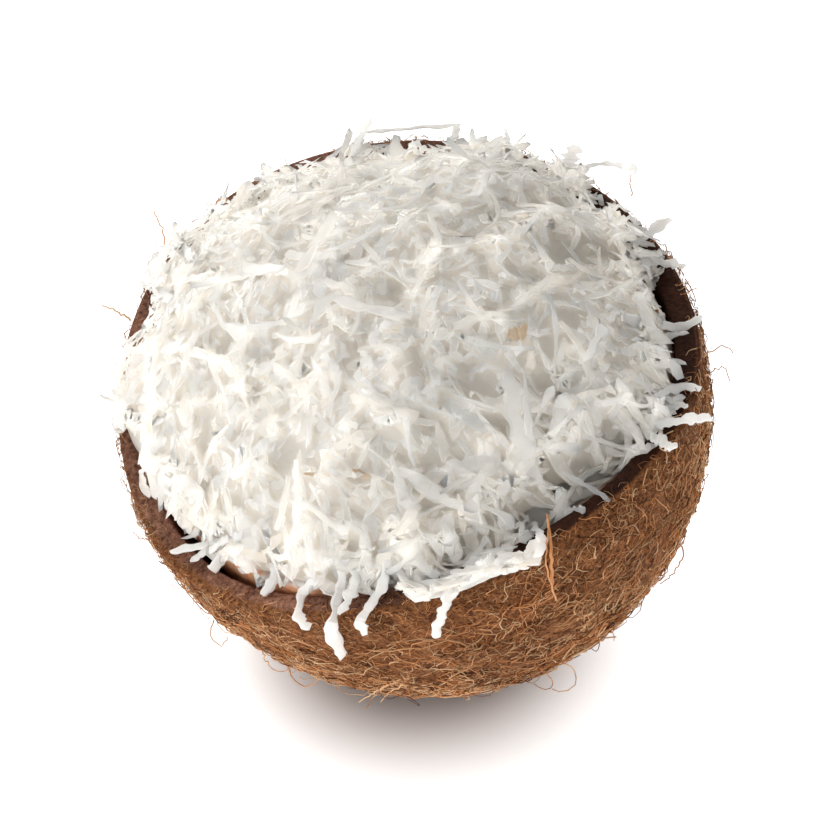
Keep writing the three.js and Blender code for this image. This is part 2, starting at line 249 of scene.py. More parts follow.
def mesh_object(name, points, triangles, material, values=None, smooth=True):
    """A mesh piece from points of the upright half, with named values for its points."""
    mesh = bpy.data.meshes.new(name)
    place = to_part(points)
    place[:, 2] = np.maximum(place[:, 2], 0.0)
    mesh.vertices.add(len(place))
    mesh.vertices.foreach_set("co", place.astype(np.float32).ravel())
    mesh.loops.add(triangles.size)
    mesh.polygons.add(len(triangles))
    mesh.polygons.foreach_set("loop_start", np.arange(0, triangles.size, 3, dtype=np.int32))
    mesh.polygons.foreach_set("vertices", triangles.astype(np.int32).ravel())
    mesh.update(calc_edges=True)
    mesh.validate()
    if smooth:
        mesh.shade_smooth()
    else:
        mesh.shade_flat()
    for key, numbers in (values or {}).items():
        layer = mesh.attributes.new(key, "FLOAT", "POINT")
        layer.data.foreach_set("value", np.asarray(numbers, np.float32))
    mesh.materials.append(material)
    print(name, "has", len(triangles), "triangles")
    return add_object(name, mesh)


def unit(vectors):
    """Vectors at length one."""
    return vectors / np.linalg.norm(vectors, axis=-1, keepdims=True)


def lumps(points, size, seed, waves=9):
    """Smooth random lumps from -1 to 1, about size millimetres across."""
    rng = np.random.default_rng(seed)
    directions = unit(rng.normal(size=(waves, 3)))
    steps = directions * (2 * math.pi / size) * rng.uniform(*LUMP_RATES, (waves, 1))
    phases = rng.uniform(0, 2 * math.pi, waves)
    total = np.sin(np.asarray(points) @ steps.T + phases).sum(-1)
    return np.clip(total / (waves * LUMP_CREST), -1, 1)


def relief(points, layers):
    """Layers of lumps, each with its height, size and seed, one on top of another."""
    return sum(height * lumps(points, size, seed) for height, size, seed in layers)


# %% [markdown]
# ## Two effects that the finishes share
# Nothing that grew has one even colour. The first group mixes two colours by clouds of two sizes. The
# second gives a height for bumps, stretched along one direction where the surface is fibrous. Built once as
# node groups, they can be placed in every material with other colours and sizes.

# %% Shader groups
def shader_group(name, inputs, outputs):
    """A shader group with its sockets, and by name the two nodes that stand for them inside."""
    group = bpy.data.node_groups.new(name, "ShaderNodeTree")
    for label, kind, value in inputs:
        socket = group.interface.new_socket(label, in_out="INPUT", socket_type=kind)
        socket.default_value = value
    for label, kind in outputs:
        group.interface.new_socket(label, in_out="OUTPUT", socket_type=kind)
    return group, add_nodes(group, given="NodeGroupInput", result="NodeGroupOutput")


def uneven_colour_group():
    """Mixes two colours by large clouds and small specks."""
    group, nodes = shader_group(
        "uneven colour",
        (
            ("Dark", "NodeSocketColor", (0.2, 0.1, 0.05, 1)),
            ("Light", "NodeSocketColor", (0.5, 0.3, 0.2, 1)),
            ("Cloud Scale", "NodeSocketFloat", 60.0),
            ("Speck Scale", "NodeSocketFloat", 500.0),
            ("Speck Share", "NodeSocketFloat", 0.35),
        ),
        (("Color", "NodeSocketColor"),),
    )
    nodes |= add_nodes(
        group,
        coordinates="ShaderNodeTexCoord",
        clouds="ShaderNodeTexNoise",
        specks="ShaderNodeTexNoise",
        blend="ShaderNodeMix",
        spread="ShaderNodeMapRange",
        colour="ShaderNodeMix",
    )
    set_sockets(nodes["clouds"], {"Detail": 3.0, "Roughness": 0.55})
    set_sockets(nodes["specks"], {"Detail": 2.0, "Roughness": 0.6})
    set_sockets(nodes["spread"], {"From Min": 0.32, "From Max": 0.68})
    nodes["colour"].data_type = "RGBA"
    wire(group, nodes, (
        ("coordinates", "Object", "clouds", "Vector"),
        ("coordinates", "Object", "specks", "Vector"),
        ("given", "Cloud Scale", "clouds", "Scale"),
        ("given", "Speck Scale", "specks", "Scale"),
        ("given", "Speck Share", "blend", "Factor"),
        ("clouds", "Fac", "blend", "A"),
        ("specks", "Fac", "blend", "B"),
        ("blend", "Result", "spread", "Value"),
        ("spread", "Result", "colour", "Factor"),
        ("given", "Dark", "colour", "A"),
        ("given", "Light", "colour", "B"),
        ("colour", "Result", "result", "Color"),
    ))
    return group


def grain_height_group():
    """A height for bumps: fine noise, squeezed along one axis of the object."""
    group, nodes = shader_group(
        "grain height",
        (("Scale", "NodeSocketFloat", 400.0), ("Stretch", "NodeSocketVector", (1, 1, 1))),
        (("Height", "NodeSocketFloat"),),
    )
    nodes |= add_nodes(
        group,
        coordinates="ShaderNodeTexCoord",
        squeeze="ShaderNodeVectorMath",
        grain="ShaderNodeTexNoise",
    )
    nodes["squeeze"].operation = "MULTIPLY"
    set_sockets(nodes["grain"], {"Detail": 4.0, "Roughness": 0.65})
    wire(group, nodes, (
        ("coordinates", "Object", "squeeze", 0),
        ("given", "Stretch", "squeeze", 1),
        ("squeeze", "Vector", "grain", "Vector"),
        ("given", "Scale", "grain", "Scale"),
        ("grain", "Fac", "result", "Height"),
    ))
    return group


UNEVEN = uneven_colour_group()
GRAIN = grain_height_group()
print("shader groups:", UNEVEN.name, "and", GRAIN.name)


# %% The groups in a material
def place_group(material, group, settings):
    """The group as a node of a material, with its own values."""
    node = material.node_tree.nodes.new("ShaderNodeGroup")
    node.node_tree = group
    set_sockets(node, settings)
    return node


def uneven(material, dark, light, clouds, specks=500.0, speck_share=0.35):
    """A colour of the material that wanders between two colours."""
    colours = {"Dark": (*dark, 1), "Light": (*light, 1)}
    scales = {"Cloud Scale": clouds, "Speck Scale": specks, "Speck Share": speck_share}
    return place_group(material, UNEVEN, {**colours, **scales}).outputs["Color"]


def add_grain(material, shader, settings, strength, distance):
    """Gives a shader bumps from the grain group."""
    grain = place_group(material, GRAIN, settings)
    bump = material.node_tree.nodes.new("ShaderNodeBump")
    set_sockets(bump, {"Strength": strength, "Distance": distance})
    nodes = {"grain": grain, "bump": bump, "shader": shader}
    wire(material.node_tree, nodes, (
        ("grain", "Height", "bump", "Height"),
        ("bump", "Normal", "shader", "Normal"),
    ))


def point_value(material, name):
    """One of the named values on the mesh's points."""
    node = material.node_tree.nodes.new("ShaderNodeAttribute")
    node.attribute_name = name
    return node.outputs["Fac"]


def mix_colours(material, factor, first, second):
    """Mixes two colours, each given as a socket or as plain numbers."""
    node = material.node_tree.nodes.new("ShaderNodeMix")
    node.data_type = "RGBA"
    material.node_tree.links.new(factor, node.inputs["Factor"])
    for label, colour in (("A", first), ("B", second)):
        if isinstance(colour, tuple):
            node.inputs[label].default_value = (*colour, 1)
        else:
            material.node_tree.links.new(colour, node.inputs[label])
    return node.outputs["Result"]


def paint(material, shader, colour):
    """Links a colour to a shader."""
    material.node_tree.links.new(colour, shader.inputs["Base Color"])


# %% [markdown]
# ## The form of the nut
# The shell and the flesh are both layers of one wall: an oval, slightly three-lobed bowl whose cut edge
# dips and rises as it goes round. One function gives any point of that wall from its turn, how far down it
# lies and how deep inside the outer skin, so all the layers fit each other without measuring.

# %% The wall
SHELL_RADIUS = 60.0
SHELL_DEPTH = 64.2
WIDEST_BELOW_EDGE = 1.9
OVAL = (0.0556, 105.8)
LOBES = (0.0145, 77.3)
EDGE_WAVE = (5.0, 123.7)
EDGE_RIPPLE = (1.25, 27.8)
SHELL_WALL = 5.5
EDGE_CROWN = 0.35
SEAM_GAP = 0.5
FLESH_WALL = 10.0
FLESH_DROP = 0.8
FLESH_ROUNDING = 2.2
DROP_CHANGES = ((-52, 34, 2.4), (-4, 20, 1.2), (-117, 22, -2.6))


def local_change(changes, turn):
    """The sum of local changes at a turn. Each is a turn and a width in degrees, and an amount."""
    total = np.zeros_like(turn)
    for middle, width, amount in changes:
        away = np.angle(np.exp(1j * (turn - math.radians(middle))))
        total = total + amount * np.exp(-((away / math.radians(width)) ** 2))
    return total


def round_wave(turn, count, height, crest):
    """A wave with a count of crests round the nut, one of them at a turn in degrees."""
    return height * np.cos(count * (turn - math.radians(crest)))


def outline(turn):
    """The nut's outline across its axis, as a share of its mean radius."""
    return 1 + round_wave(turn, 2, *OVAL) + round_wave(turn, 3, *LOBES)


def edge_height(turn):
    """The height of the cut edge."""
    return round_wave(turn, 2, *EDGE_WAVE) + round_wave(turn, 3, *EDGE_RIPPLE)


def wall_point(turn, down, inset, drop):
    """A point of the wall: down runs from 0 at the top to 1 at the bottom, inset from the outer skin."""
    depth = SHELL_DEPTH - inset
    edge_slope = np.arcsin((edge_height(turn) - drop + WIDEST_BELOW_EDGE) / depth)
    slope = edge_slope + (-math.pi / 2 - edge_slope) * down
    radius = (SHELL_RADIUS * outline(turn) - inset) * np.cos(slope)
    height = depth * np.sin(slope) - WIDEST_BELOW_EDGE
    return np.stack([radius * np.cos(turn), radius * np.sin(turn), height], -1)


def bottom_point(inset):
    """The lowest point of a layer of the wall, on the nut's axis."""
    return wall_point(np.zeros(1), 1.0, inset, 0.0)[0]


def turns_round(count):
    """Even turns all the way round the nut."""
    return np.linspace(0, 2 * math.pi, count, endpoint=False)


def flesh_drop(turn):
    """How far the top of the flesh lies below the cut edge."""
    return FLESH_DROP + local_change(DROP_CHANGES, turn)


def edge_rise(turn):
    """How far the higher of shell and flesh stands above the cut edge."""
    return np.maximum(EDGE_CROWN, -flesh_drop(turn))


print("the cut edge rises and dips by", np.ptp(edge_height(turns_round(360))).round(1), "mm")


# %% A skin from rings
def closed_skin(rings, first, last):
    """Points and triangles of a skin of rings between two poles, faces outwards."""
    rows, columns = len(rings), len(rings[0])
    points = np.concatenate([np.concatenate(rings), [first, last]])
    row, column = np.meshgrid(np.arange(rows - 1), np.arange(columns), indexing="ij")
    here = (row * columns + column).ravel()
    beside = (row * columns + (column + 1) % columns).ravel()
    lower = np.stack([here, beside, here + columns], -1)
    upper = np.stack([beside + columns, here + columns, beside], -1)
    start = np.arange(columns)
    end = (rows - 1) * columns + start
    bottom = np.stack([np.full(columns, rows * columns), np.roll(start, -1), start], -1)
    top = np.stack([end, np.roll(end, -1), np.full(columns, rows * columns + 1)], -1)
    return points, np.concatenate([lower, upper, bottom, top])


# %% [markdown]
# ## The shell
# Under its hair the shell is hard and dark. Where it was sawn through, the cut shows dense wood, nearly black
# in most places, worn to a grey brown at the front left and a little along the left and the back. In front,
# fibre has been pressed over the outer border of the cut. The mesh follows the same rings as the solid, only
# finer, with saw relief on the cut, and its skin lies deeper by the depth of the mat of fibre that grows on
# it. Two values are kept on its points, whether they belong to the cut and how worn they are, so that the
# material can paint it.

# %% Finish of the shell
SHELL_SKIN = {"dark": (0.06, 0.019, 0.006), "light": (0.47, 0.19, 0.07)}
SAWN_WOOD = {"dark": (0.011, 0.0036, 0.0018), "light": (0.08, 0.026, 0.012)}
WORN_WOOD = {"dark": (0.12, 0.047, 0.029), "light": (0.62, 0.295, 0.185)}


def make_shell_material():
    """Dark skin outside, and a cut of dense wood that is dark, or grey-brown where it has worn."""
    material, shader = new_material("coconut shell", roughness=0.8)
    skin = uneven(material, **SHELL_SKIN, clouds=90.0, specks=1500.0, speck_share=0.8)
    wood = uneven(material, **SAWN_WOOD, clouds=140.0, specks=1100.0, speck_share=0.55)
    worn = uneven(material, **WORN_WOOD, clouds=140.0, specks=1100.0, speck_share=0.7)
    cut = mix_colours(material, point_value(material, "worn"), wood, worn)
    paint(material, shader, mix_colours(material, point_value(material, "sawn"), skin, cut))
    shader.inputs["Specular IOR Level"].default_value = 0.15
    add_grain(material, shader, {"Scale": 700.0, "Stretch": (1, 1, 2.5)}, strength=0.9, distance=0.0009)
    return material


# %% Shell
SHELL_COLUMNS = 300
OUTSIDE_ROWS = 44
CUT_ROWS = 12
INSIDE_ROWS = 16
NEAR_BOTTOM = 0.99
MAT_DEPTH = 1.0
FIBRE_RELIEF = 1.1
FIBRE_RELIEF_BASE = 0.35
FIBRE_LUMPS = ((0.4, 9, 3), (0.25, 3, 4))
RELIEF_STARTS = 12
SAW_RELIEF = ((0.22, 2.4, 5), (0.12, 0.9, 6))
SEAM_DROP = 0.25
CUT_SPAN = (0.08, 0.98)
COVERED_CUT = ((-58, 26, 0.25), (-128, 26, 0.3))
COVER_WAVER = ((0.3, 5, 7),)
COVER_FADE = 0.12
COVER_FADE_OUTSIDE = 0.1
WORN_EDGE = ((-118, 26, 1.0), (-155, 16, 0.7), (168, 24, 0.7), (108, 32, 0.5))


def make_shell():
    """The shell from the middle of its outside, over the cut, to the middle of its inside."""
    turn = turns_round(SHELL_COLUMNS)
    covered = local_change(COVERED_CUT, turn)
    rings, sawn = [], []
    for down in np.linspace(NEAR_BOTTOM, 0.0, OUTSIDE_ROWS):
        plain = wall_point(turn, down, MAT_DEPTH, 0.0)
        height = FIBRE_RELIEF * (FIBRE_RELIEF_BASE + relief(plain, FIBRE_LUMPS))
        rings.append(wall_point(turn, down, MAT_DEPTH - height * min(1, down * RELIEF_STARTS), 0.0))
        sawn.append(np.clip(1 - covered / COVER_FADE_OUTSIDE, 0, 1) * (down == 0))
    for share in np.linspace(*CUT_SPAN, CUT_ROWS):
        inset = MAT_DEPTH + share * (SHELL_WALL - MAT_DEPTH)
        plain = wall_point(turn, 0.0, inset, 0.0)
        crown = EDGE_CROWN * math.sin(math.pi * share)
        rings.append(wall_point(turn, 0.0, inset, -crown - relief(plain, SAW_RELIEF)))
        bare = share - covered + relief(plain, COVER_WAVER) * covered
        sawn.append(np.clip(bare / COVER_FADE, 0, 1))
    for down in np.linspace(0.0, NEAR_BOTTOM, INSIDE_ROWS):
        rings.append(wall_point(turn, down, SHELL_WALL, SEAM_DROP))
        sawn.append(np.ones(SHELL_COLUMNS))
    points, triangles = closed_skin(rings, bottom_point(MAT_DEPTH), bottom_point(SHELL_WALL))
    wear = np.clip(local_change(WORN_EDGE, turn), 0, 1)
    values = {
        "sawn": np.append(np.concatenate(sawn), [0, 1]),
        "worn": np.append(np.tile(wear, len(rings)), [0, 0]),
    }
    return mesh_object("shell_body", points, triangles, make_shell_material(), values)


shell_body = make_shell()

# %% [markdown]
# ## The flesh
# The flesh is a thick white lining, rounded at the top. A thin brown skin holds it to the shell, and shows
# in orange patches along its outer border. In two places the flesh has drawn back from the shell and leaves
# a dark crevice. The flesh is a little waxy, so light enters it and softens.

# %% Finish of the flesh
FLESH_WHITE = {"dark": (0.80, 0.765, 0.70), "light": (0.90, 0.885, 0.85)}
FLESH_SKIN = {"dark": (0.55, 0.21, 0.09), "light": (0.94, 0.52, 0.29)}


def make_flesh_material():
    """Waxy white inside, with an orange-brown skin on the outside."""
    material, shader = new_material("coconut flesh", roughness=0.6)
    white = uneven(material, **FLESH_WHITE, clouds=70.0, speck_share=0.15)
    skin = uneven(material, **FLESH_SKIN, clouds=220.0, speck_share=0.5)
    paint(material, shader, mix_colours(material, point_value(material, "rind"), white, skin))
    radius = (1.0, 0.85, 0.7)
    set_sockets(shader, {"Subsurface Weight": 0.25, "Subsurface Radius": radius, "Subsurface Scale": 0.002})
    add_grain(material, shader, {"Scale": 600.0}, strength=0.6, distance=0.0006)
    return material


# %% Flesh
FLESH_COLUMNS = 260
SKIN_ROWS = 26
HOLLOW_ROWS = 14
CREVICES = ((-141, 20, 1.9), (-52, 30, 0.8))
CREVICE_DEPTH_SHARE = 0.3
FLESH_TOP = (
    (0.0, 0.5), (0.04, 0.28), (0.1, 0.1), (0.25, 0.0), (0.5, 0.0), (0.7, 0.12), (0.88, 0.4), (0.97, 0.75),
)
SKIN_TOP = 0.02
BORDER_WAVER = 0.3
BORDER_LUMPS = ((1.0, 3.5, 10),)
FLESH_RELIEF = ((0.16, 5, 8), (0.14, 1.8, 11))
SKIN_SHARE = 0.03
PATCH_SHARE = 0.12
PATCH_BASE = 0.55
PATCHES = ((1.4, 9, 9),)


def rind_value(share, plain):
    """How much of the skin shows at a share of the way over the top: all, in patches, or none."""
    if share < SKIN_SHARE:
        return np.ones(FLESH_COLUMNS)
    if share < PATCH_SHARE:
        return np.clip(PATCH_BASE + relief(plain, PATCHES), 0, 1)
    return np.zeros(FLESH_COLUMNS)


def make_flesh():
    """The flesh from the middle of its outside, over its rounded top, to the middle of its inside."""
    turn = turns_round(FLESH_COLUMNS)
    outside = SHELL_WALL + SEAM_GAP
    inside = outside + FLESH_WALL
    drop = flesh_drop(turn)
    crevice = local_change(CREVICES, turn)
    first_below = FLESH_TOP[0][1]
    rings, rind = [], []
    for down in np.linspace(NEAR_BOTTOM, SKIN_TOP, SKIN_ROWS):
        gap = crevice * np.clip(1 - down / CREVICE_DEPTH_SHARE, 0, 1)
        rings.append(wall_point(turn, down, outside + gap, drop + FLESH_ROUNDING * first_below))
        rind.append(np.ones(FLESH_COLUMNS))
    for share, below in FLESH_TOP:
        inset = outside + crevice + share * (FLESH_WALL - crevice)
        plain = wall_point(turn, 0.0, inset, drop)
        inset = inset + BORDER_WAVER * (1 - share) * (1 + relief(plain, BORDER_LUMPS))
        rough = relief(plain, FLESH_RELIEF)
        rings.append(wall_point(turn, 0.0, inset, drop + FLESH_ROUNDING * below + rough))
        rind.append(rind_value(share, plain))
    for down in np.linspace(0.0, NEAR_BOTTOM, HOLLOW_ROWS):
        rings.append(wall_point(turn, down, inside, drop + FLESH_ROUNDING))
        rind.append(np.zeros(FLESH_COLUMNS))
    points, triangles = closed_skin(rings, bottom_point(outside), bottom_point(inside))
    values = {"rind": np.append(np.concatenate(rind), [1, 0])}
    return mesh_object("flesh_lining", points, triangles, make_flesh_material(), values)


flesh_lining = make_flesh()

# %% [markdown]
# ## The mat of fibre
# Coir is thousands of curly fibres, matted close to the shell. Modelling each by hand would be hopeless, so
# we make a few fibres of four kinds, and let Geometry Nodes strew them over a copy of the shell's outside.
# A direction kept on that surface lets one layer lie combed round the nut and another lie tangled over it.
# Noise lets more of them grow in some places than in others, so that they clump. Each fibre also gets a
# random tone, which the material turns into pale, orange or dark brown.

# %% Fibre shapes
FIBRES_OF_A_KIND = 14
FIBRE_SIDES = 3
FIBRE_WAVER = 0.12
FIBRE_BOW = 4
FIBRE_ARCH = (0.1, 0.95)
FIBRE_LIFTS = (0.3, 1.0)
FIBRE_THICKNESSES = (0.7, 1.25)
FIBRE_TAPER = (1.0, 0.55)
NEARLY_UPRIGHT = 0.9


def sweep(path, radii, sides):
    """Points and triangles of a closed tube along a path of points."""
    path = np.asarray(path, float)
    tangent = unit(np.gradient(path, axis=0))
    guide = np.array((0.0, 0.0, 1.0)) if abs(tangent[0, 2]) < NEARLY_UPRIGHT else np.array((1.0, 0.0, 0.0))
    angles = 2 * math.pi * np.arange(sides) / sides
    rings = []
    for place, along, radius in zip(path, tangent, radii):
        guide = unit(guide - along * (guide @ along))
        other = np.cross(along, guide)
        rings.append(place + radius * (np.cos(angles)[:, None] * guide + np.sin(angles)[:, None] * other))
    return closed_skin(rings, path[0], path[-1])


def fibre_path(rng, length, curl, lift, steps):
    """A curly fibre lying on a round nut, its middle at the origin."""
    wander = np.cumsum(rng.normal(0, curl, steps))
    heading = wander + rng.uniform(-1, 1) * np.linspace(-1, 1, steps) * curl * FIBRE_BOW
    stride = length / (steps - 1)
    flat = np.cumsum(np.stack([np.cos(heading), np.sin(heading)], -1) * stride, axis=0)
    flat -= flat.mean(0)
    arch = np.sin(np.linspace(*FIBRE_ARCH, steps) * math.pi)
    rise = lift * arch * rng.uniform(*FIBRE_LIFTS)
    rise = rise + rng.normal(0, FIBRE_WAVER, steps) - (flat ** 2).sum(1) / (2 * SHELL_RADIUS)
    return np.column_stack([flat, rise])


def make_fibre_kind(name, seed, lengths, curl, lift, radius, steps=7):
    """A collection of differing fibres, to be strewn by their own frames."""
    rng = np.random.default_rng(seed)
    kind = bpy.data.collections.new(name)
    bpy.context.scene.collection.children.link(kind)
    for number in range(FIBRES_OF_A_KIND):
        path = fibre_path(rng, rng.uniform(*lengths), curl, lift, steps)
        radii = radius * rng.uniform(*FIBRE_THICKNESSES) * np.linspace(*FIBRE_TAPER, len(path))
        points, triangles = sweep(path, radii, FIBRE_SIDES)
        mesh = bpy.data.meshes.new(f"{name} {number}")
        mesh.from_pydata((points * MM).tolist(), [], triangles.tolist())
        mesh.shade_smooth()
        kind.objects.link(bpy.data.objects.new(f"{name} {number}", mesh))
    return kind


# %% The tree that strews fibres
FIBRE_INPUTS = {
    "Surface": "NodeSocketGeometry",
    "Fibres": "NodeSocketCollection",
    "Density": "NodeSocketFloat",
    "Clump Scale": "NodeSocketFloat",
    "Spread": "NodeSocketFloat",
    "Smallest": "NodeSocketFloat",
    "Largest": "NodeSocketFloat",
    "Seed": "NodeSocketInt",
    "Finish": "NodeSocketMaterial",
}
CLUMPING = {"From Min": 0.35, "From Max": 0.65, "To Min": 0.35, "To Max": 1.65}


def fibre_mat_tree():
    """Strews fibres over a surface, turned to its kept direction, each with its own size and tone."""
    tree = bpy.data.node_groups.new("fibre mat", "GeometryNodeTree")
    for label, kind in FIBRE_INPUTS.items():
        tree.interface.new_socket(label, in_out="INPUT", socket_type=kind)
    tree.interface.new_socket("Mat", in_out="OUTPUT", socket_type="NodeSocketGeometry")
    nodes = add_nodes(
        tree,
        given="NodeGroupInput",
        result="NodeGroupOutput",
        clumps="ShaderNodeTexNoise",
        sparse="ShaderNodeMapRange",
        thinned="ShaderNodeMath",
        strew="GeometryNodeDistributePointsOnFaces",
        flow="GeometryNodeInputNamedAttribute",
        align="FunctionNodeAlignRotationToVector",
        least="ShaderNodeMath",
        spin="FunctionNodeRandomValue",
        turn="ShaderNodeCombineXYZ",
        euler="FunctionNodeEulerToRotation",
        rotate="FunctionNodeRotateRotation",
        kinds="GeometryNodeCollectionInfo",
        choice="FunctionNodeRandomValue",
        size="FunctionNodeRandomValue",
        instance="GeometryNodeInstanceOnPoints",
        tone="FunctionNodeRandomValue",
        store="GeometryNodeStoreNamedAttribute",
        realize="GeometryNodeRealizeInstances",
        finish="GeometryNodeSetMaterial",
    )
    set_fibre_nodes(nodes)
    wire(tree, nodes, FIBRE_WIRES)
    for offset, name in enumerate(("spin", "choice", "size", "tone"), start=1):
        nodes["add"] = tree.nodes.new("ShaderNodeMath")
        nodes["add"].inputs[1].default_value = offset
        wire(tree, nodes, (("given", "Seed", "add", 0), ("add", 0, name, "Seed")))
    return tree


def set_fibre_nodes(nodes):
    """Settings of the nodes that don't come in through the tree's own inputs."""
    set_sockets(nodes["sparse"], CLUMPING)
    nodes["thinned"].operation = "MULTIPLY"
    nodes["flow"].data_type = "FLOAT_VECTOR"
    set_sockets(nodes["flow"], {"Name": "flow"})
    nodes["align"].axis = "X"
    nodes["align"].pivot_axis = "Z"
    nodes["least"].operation = "MULTIPLY"
    nodes["least"].inputs[1].default_value = -1.0
    nodes["rotate"].rotation_space = "LOCAL"
    set_sockets(nodes["kinds"], {"Separate Children": True, "Reset Children": True})
    nodes["choice"].data_type = "INT"
    nodes["choice"].inputs[5].default_value = FIBRES_OF_A_KIND - 1
    set_sockets(nodes["instance"], {"Pick Instance": True})
    nodes["store"].data_type = "FLOAT"
    nodes["store"].domain = "INSTANCE"
    set_sockets(nodes["store"], {"Name": "tone"})


FIBRE_WIRES = (
    ("given", "Surface", "strew", "Mesh"),
    ("given", "Clump Scale", "clumps", "Scale"),
    ("clumps", "Fac", "sparse", "Value"),
    ("given", "Density", "thinned", 0),
    ("sparse", "Result", "thinned", 1),
    ("thinned", 0, "strew", "Density"),
    ("given", "Seed", "strew", "Seed"),
    ("strew", "Rotation", "align", "Rotation"),
    ("flow", "Attribute", "align", "Vector"),
    ("given", "Spread", "least", 0),
    ("least", 0, "spin", 2),
    ("given", "Spread", "spin", 3),
    ("spin", 1, "turn", "Z"),
    ("turn", 0, "euler", 0),
    ("align", "Rotation", "rotate", "Rotation"),
    ("euler", 0, "rotate", "Rotate By"),
    ("given", "Fibres", "kinds", "Collection"),
    ("given", "Smallest", "size", 2),
    ("given", "Largest", "size", 3),
    ("strew", "Points", "instance", "Points"),
    ("kinds", 0, "instance", "Instance"),
    ("choice", 2, "instance", "Instance Index"),
    ("rotate", 0, "instance", "Rotation"),
    ("size", 1, "instance", "Scale"),
    ("instance", "Instances", "store", "Geometry"),
    ("tone", 1, "store", "Value"),
    ("store", "Geometry", "realize", "Geometry"),
    ("realize", "Geometry", "finish", "Geometry"),
    ("given", "Finish", "finish", "Material"),
    ("finish", "Geometry", "result", "Mat"),
)
FIBRE_MAT = fibre_mat_tree()
print("the tree that strews fibres has", len(FIBRE_MAT.nodes), "nodes")

# %% The ground that carries the fibres
FIBRE_LOWEST = 0.0022
FIBRE_FLOOR = 0.0002
GROUND_COLUMNS = 180
GROUND_ROWS = 60
BRIM_ROWS = 5
BRIM_CHANGES = ((-58, 26, 0.6), (-125, 30, 1.0))


def make_fibre_ground(name, deepest, shallowest, inset, over_edge=0.0):
    """A layer of the shell's outside above the flat spot, and the border of its cut, with a direction."""
    turn = turns_round(GROUND_COLUMNS)
    rings = [wall_point(turn, down, inset, 0.0) for down in np.linspace(deepest, shallowest, GROUND_ROWS)]
    if over_edge > 0:
        reach = over_edge + local_change(BRIM_CHANGES, turn)
        for share in np.linspace(0, 1, BRIM_ROWS):
            rings.append(wall_point(turn, 0.0, inset + reach * share, -EDGE_CROWN))
    row, column = np.meshgrid(np.arange(len(rings) - 1), np.arange(GROUND_COLUMNS), indexing="ij")
    here = (row * GROUND_COLUMNS + column).ravel()
    beside = (row * GROUND_COLUMNS + (column + 1) % GROUND_COLUMNS).ravel()
    quads = np.stack([here, beside, beside + GROUND_COLUMNS, here + GROUND_COLUMNS], -1)
    flow = unit(np.gradient(np.stack(rings), axis=1).reshape(-1, 3) @ LEAN.T)
    place = to_part(np.concatenate(rings))
    quads = quads[(place[quads, 2] > FIBRE_LOWEST).all(1)]
    mesh = bpy.data.meshes.new(name)
    mesh.from_pydata(place.tolist(), [], quads.tolist())
    layer = mesh.attributes.new("flow", "FLOAT_VECTOR", "POINT")
    layer.data.foreach_set("vector", flow.astype(np.float32).ravel())
    return add_object(name, mesh)


def strew_fibres(name, ground, settings):
    """Runs the tree on the ground, and keeps the result as a plain mesh piece."""
    modifier = ground.modifiers.new("fibre mat", "NODES")
    modifier.node_group = FIBRE_MAT
    for item in FIBRE_MAT.interface.items_tree:
        if item.in_out == "INPUT" and item.name in settings:
            modifier[item.identifier] = settings[item.name]
    bpy.context.view_layer.update()
    evaluated = ground.evaluated_get(bpy.context.evaluated_depsgraph_get())
    mesh = bpy.data.meshes.new_from_object(evaluated)
    mesh.name = name
    places = np.empty(len(mesh.vertices) * 3, np.float32)
    mesh.vertices.foreach_get("co", places)
    places[2::3] = np.maximum(places[2::3], FIBRE_FLOOR)
    mesh.vertices.foreach_set("co", places)
    mesh.shade_smooth()
    bpy.data.objects.remove(ground)
    print(name, "has", sum(len(face.vertices) - 2 for face in mesh.polygons), "triangles")
    return add_object(name, mesh)


# %% Finish of the fibre
COIR_TONES = {0.0: (0.085, 0.024, 0.0065), 0.44: (0.86, 0.36, 0.132), 1.0: (1.0, 0.70, 0.41)}
COIR_SHADE = {"dark": (0.46, 0.41, 0.37), "light": (1, 1, 1)}


def make_coir_material():
    """Fibre whose tone goes from dark to pale brown, shaded in clouds."""
    material, shader = new_material("coir", roughness=0.7)
    shader.inputs["Specular IOR Level"].default_value = 0.2
    tree = material.node_tree
    nodes = add_nodes(tree, ramp="ShaderNodeValToRGB", product="ShaderNodeMix")
    dark, middle, pale = COIR_TONES
    steps = nodes["ramp"].color_ramp.elements
    steps[0].color = (*COIR_TONES[dark], 1)
    steps[1].color = (*COIR_TONES[pale], 1)
    steps.new(middle).color = (*COIR_TONES[middle], 1)
    nodes["product"].data_type = "RGBA"
    nodes["product"].blend_type = "MULTIPLY"
    nodes["product"].inputs["Factor"].default_value = 1.0
    tree.links.new(point_value(material, "tone"), nodes["ramp"].inputs["Fac"])
    tree.links.new(nodes["ramp"].outputs["Color"], nodes["product"].inputs["A"])
    tree.links.new(uneven(material, **COIR_SHADE, clouds=70.0), nodes["product"].inputs["B"])
    paint(material, shader, nodes["product"].outputs["Result"])
    return material


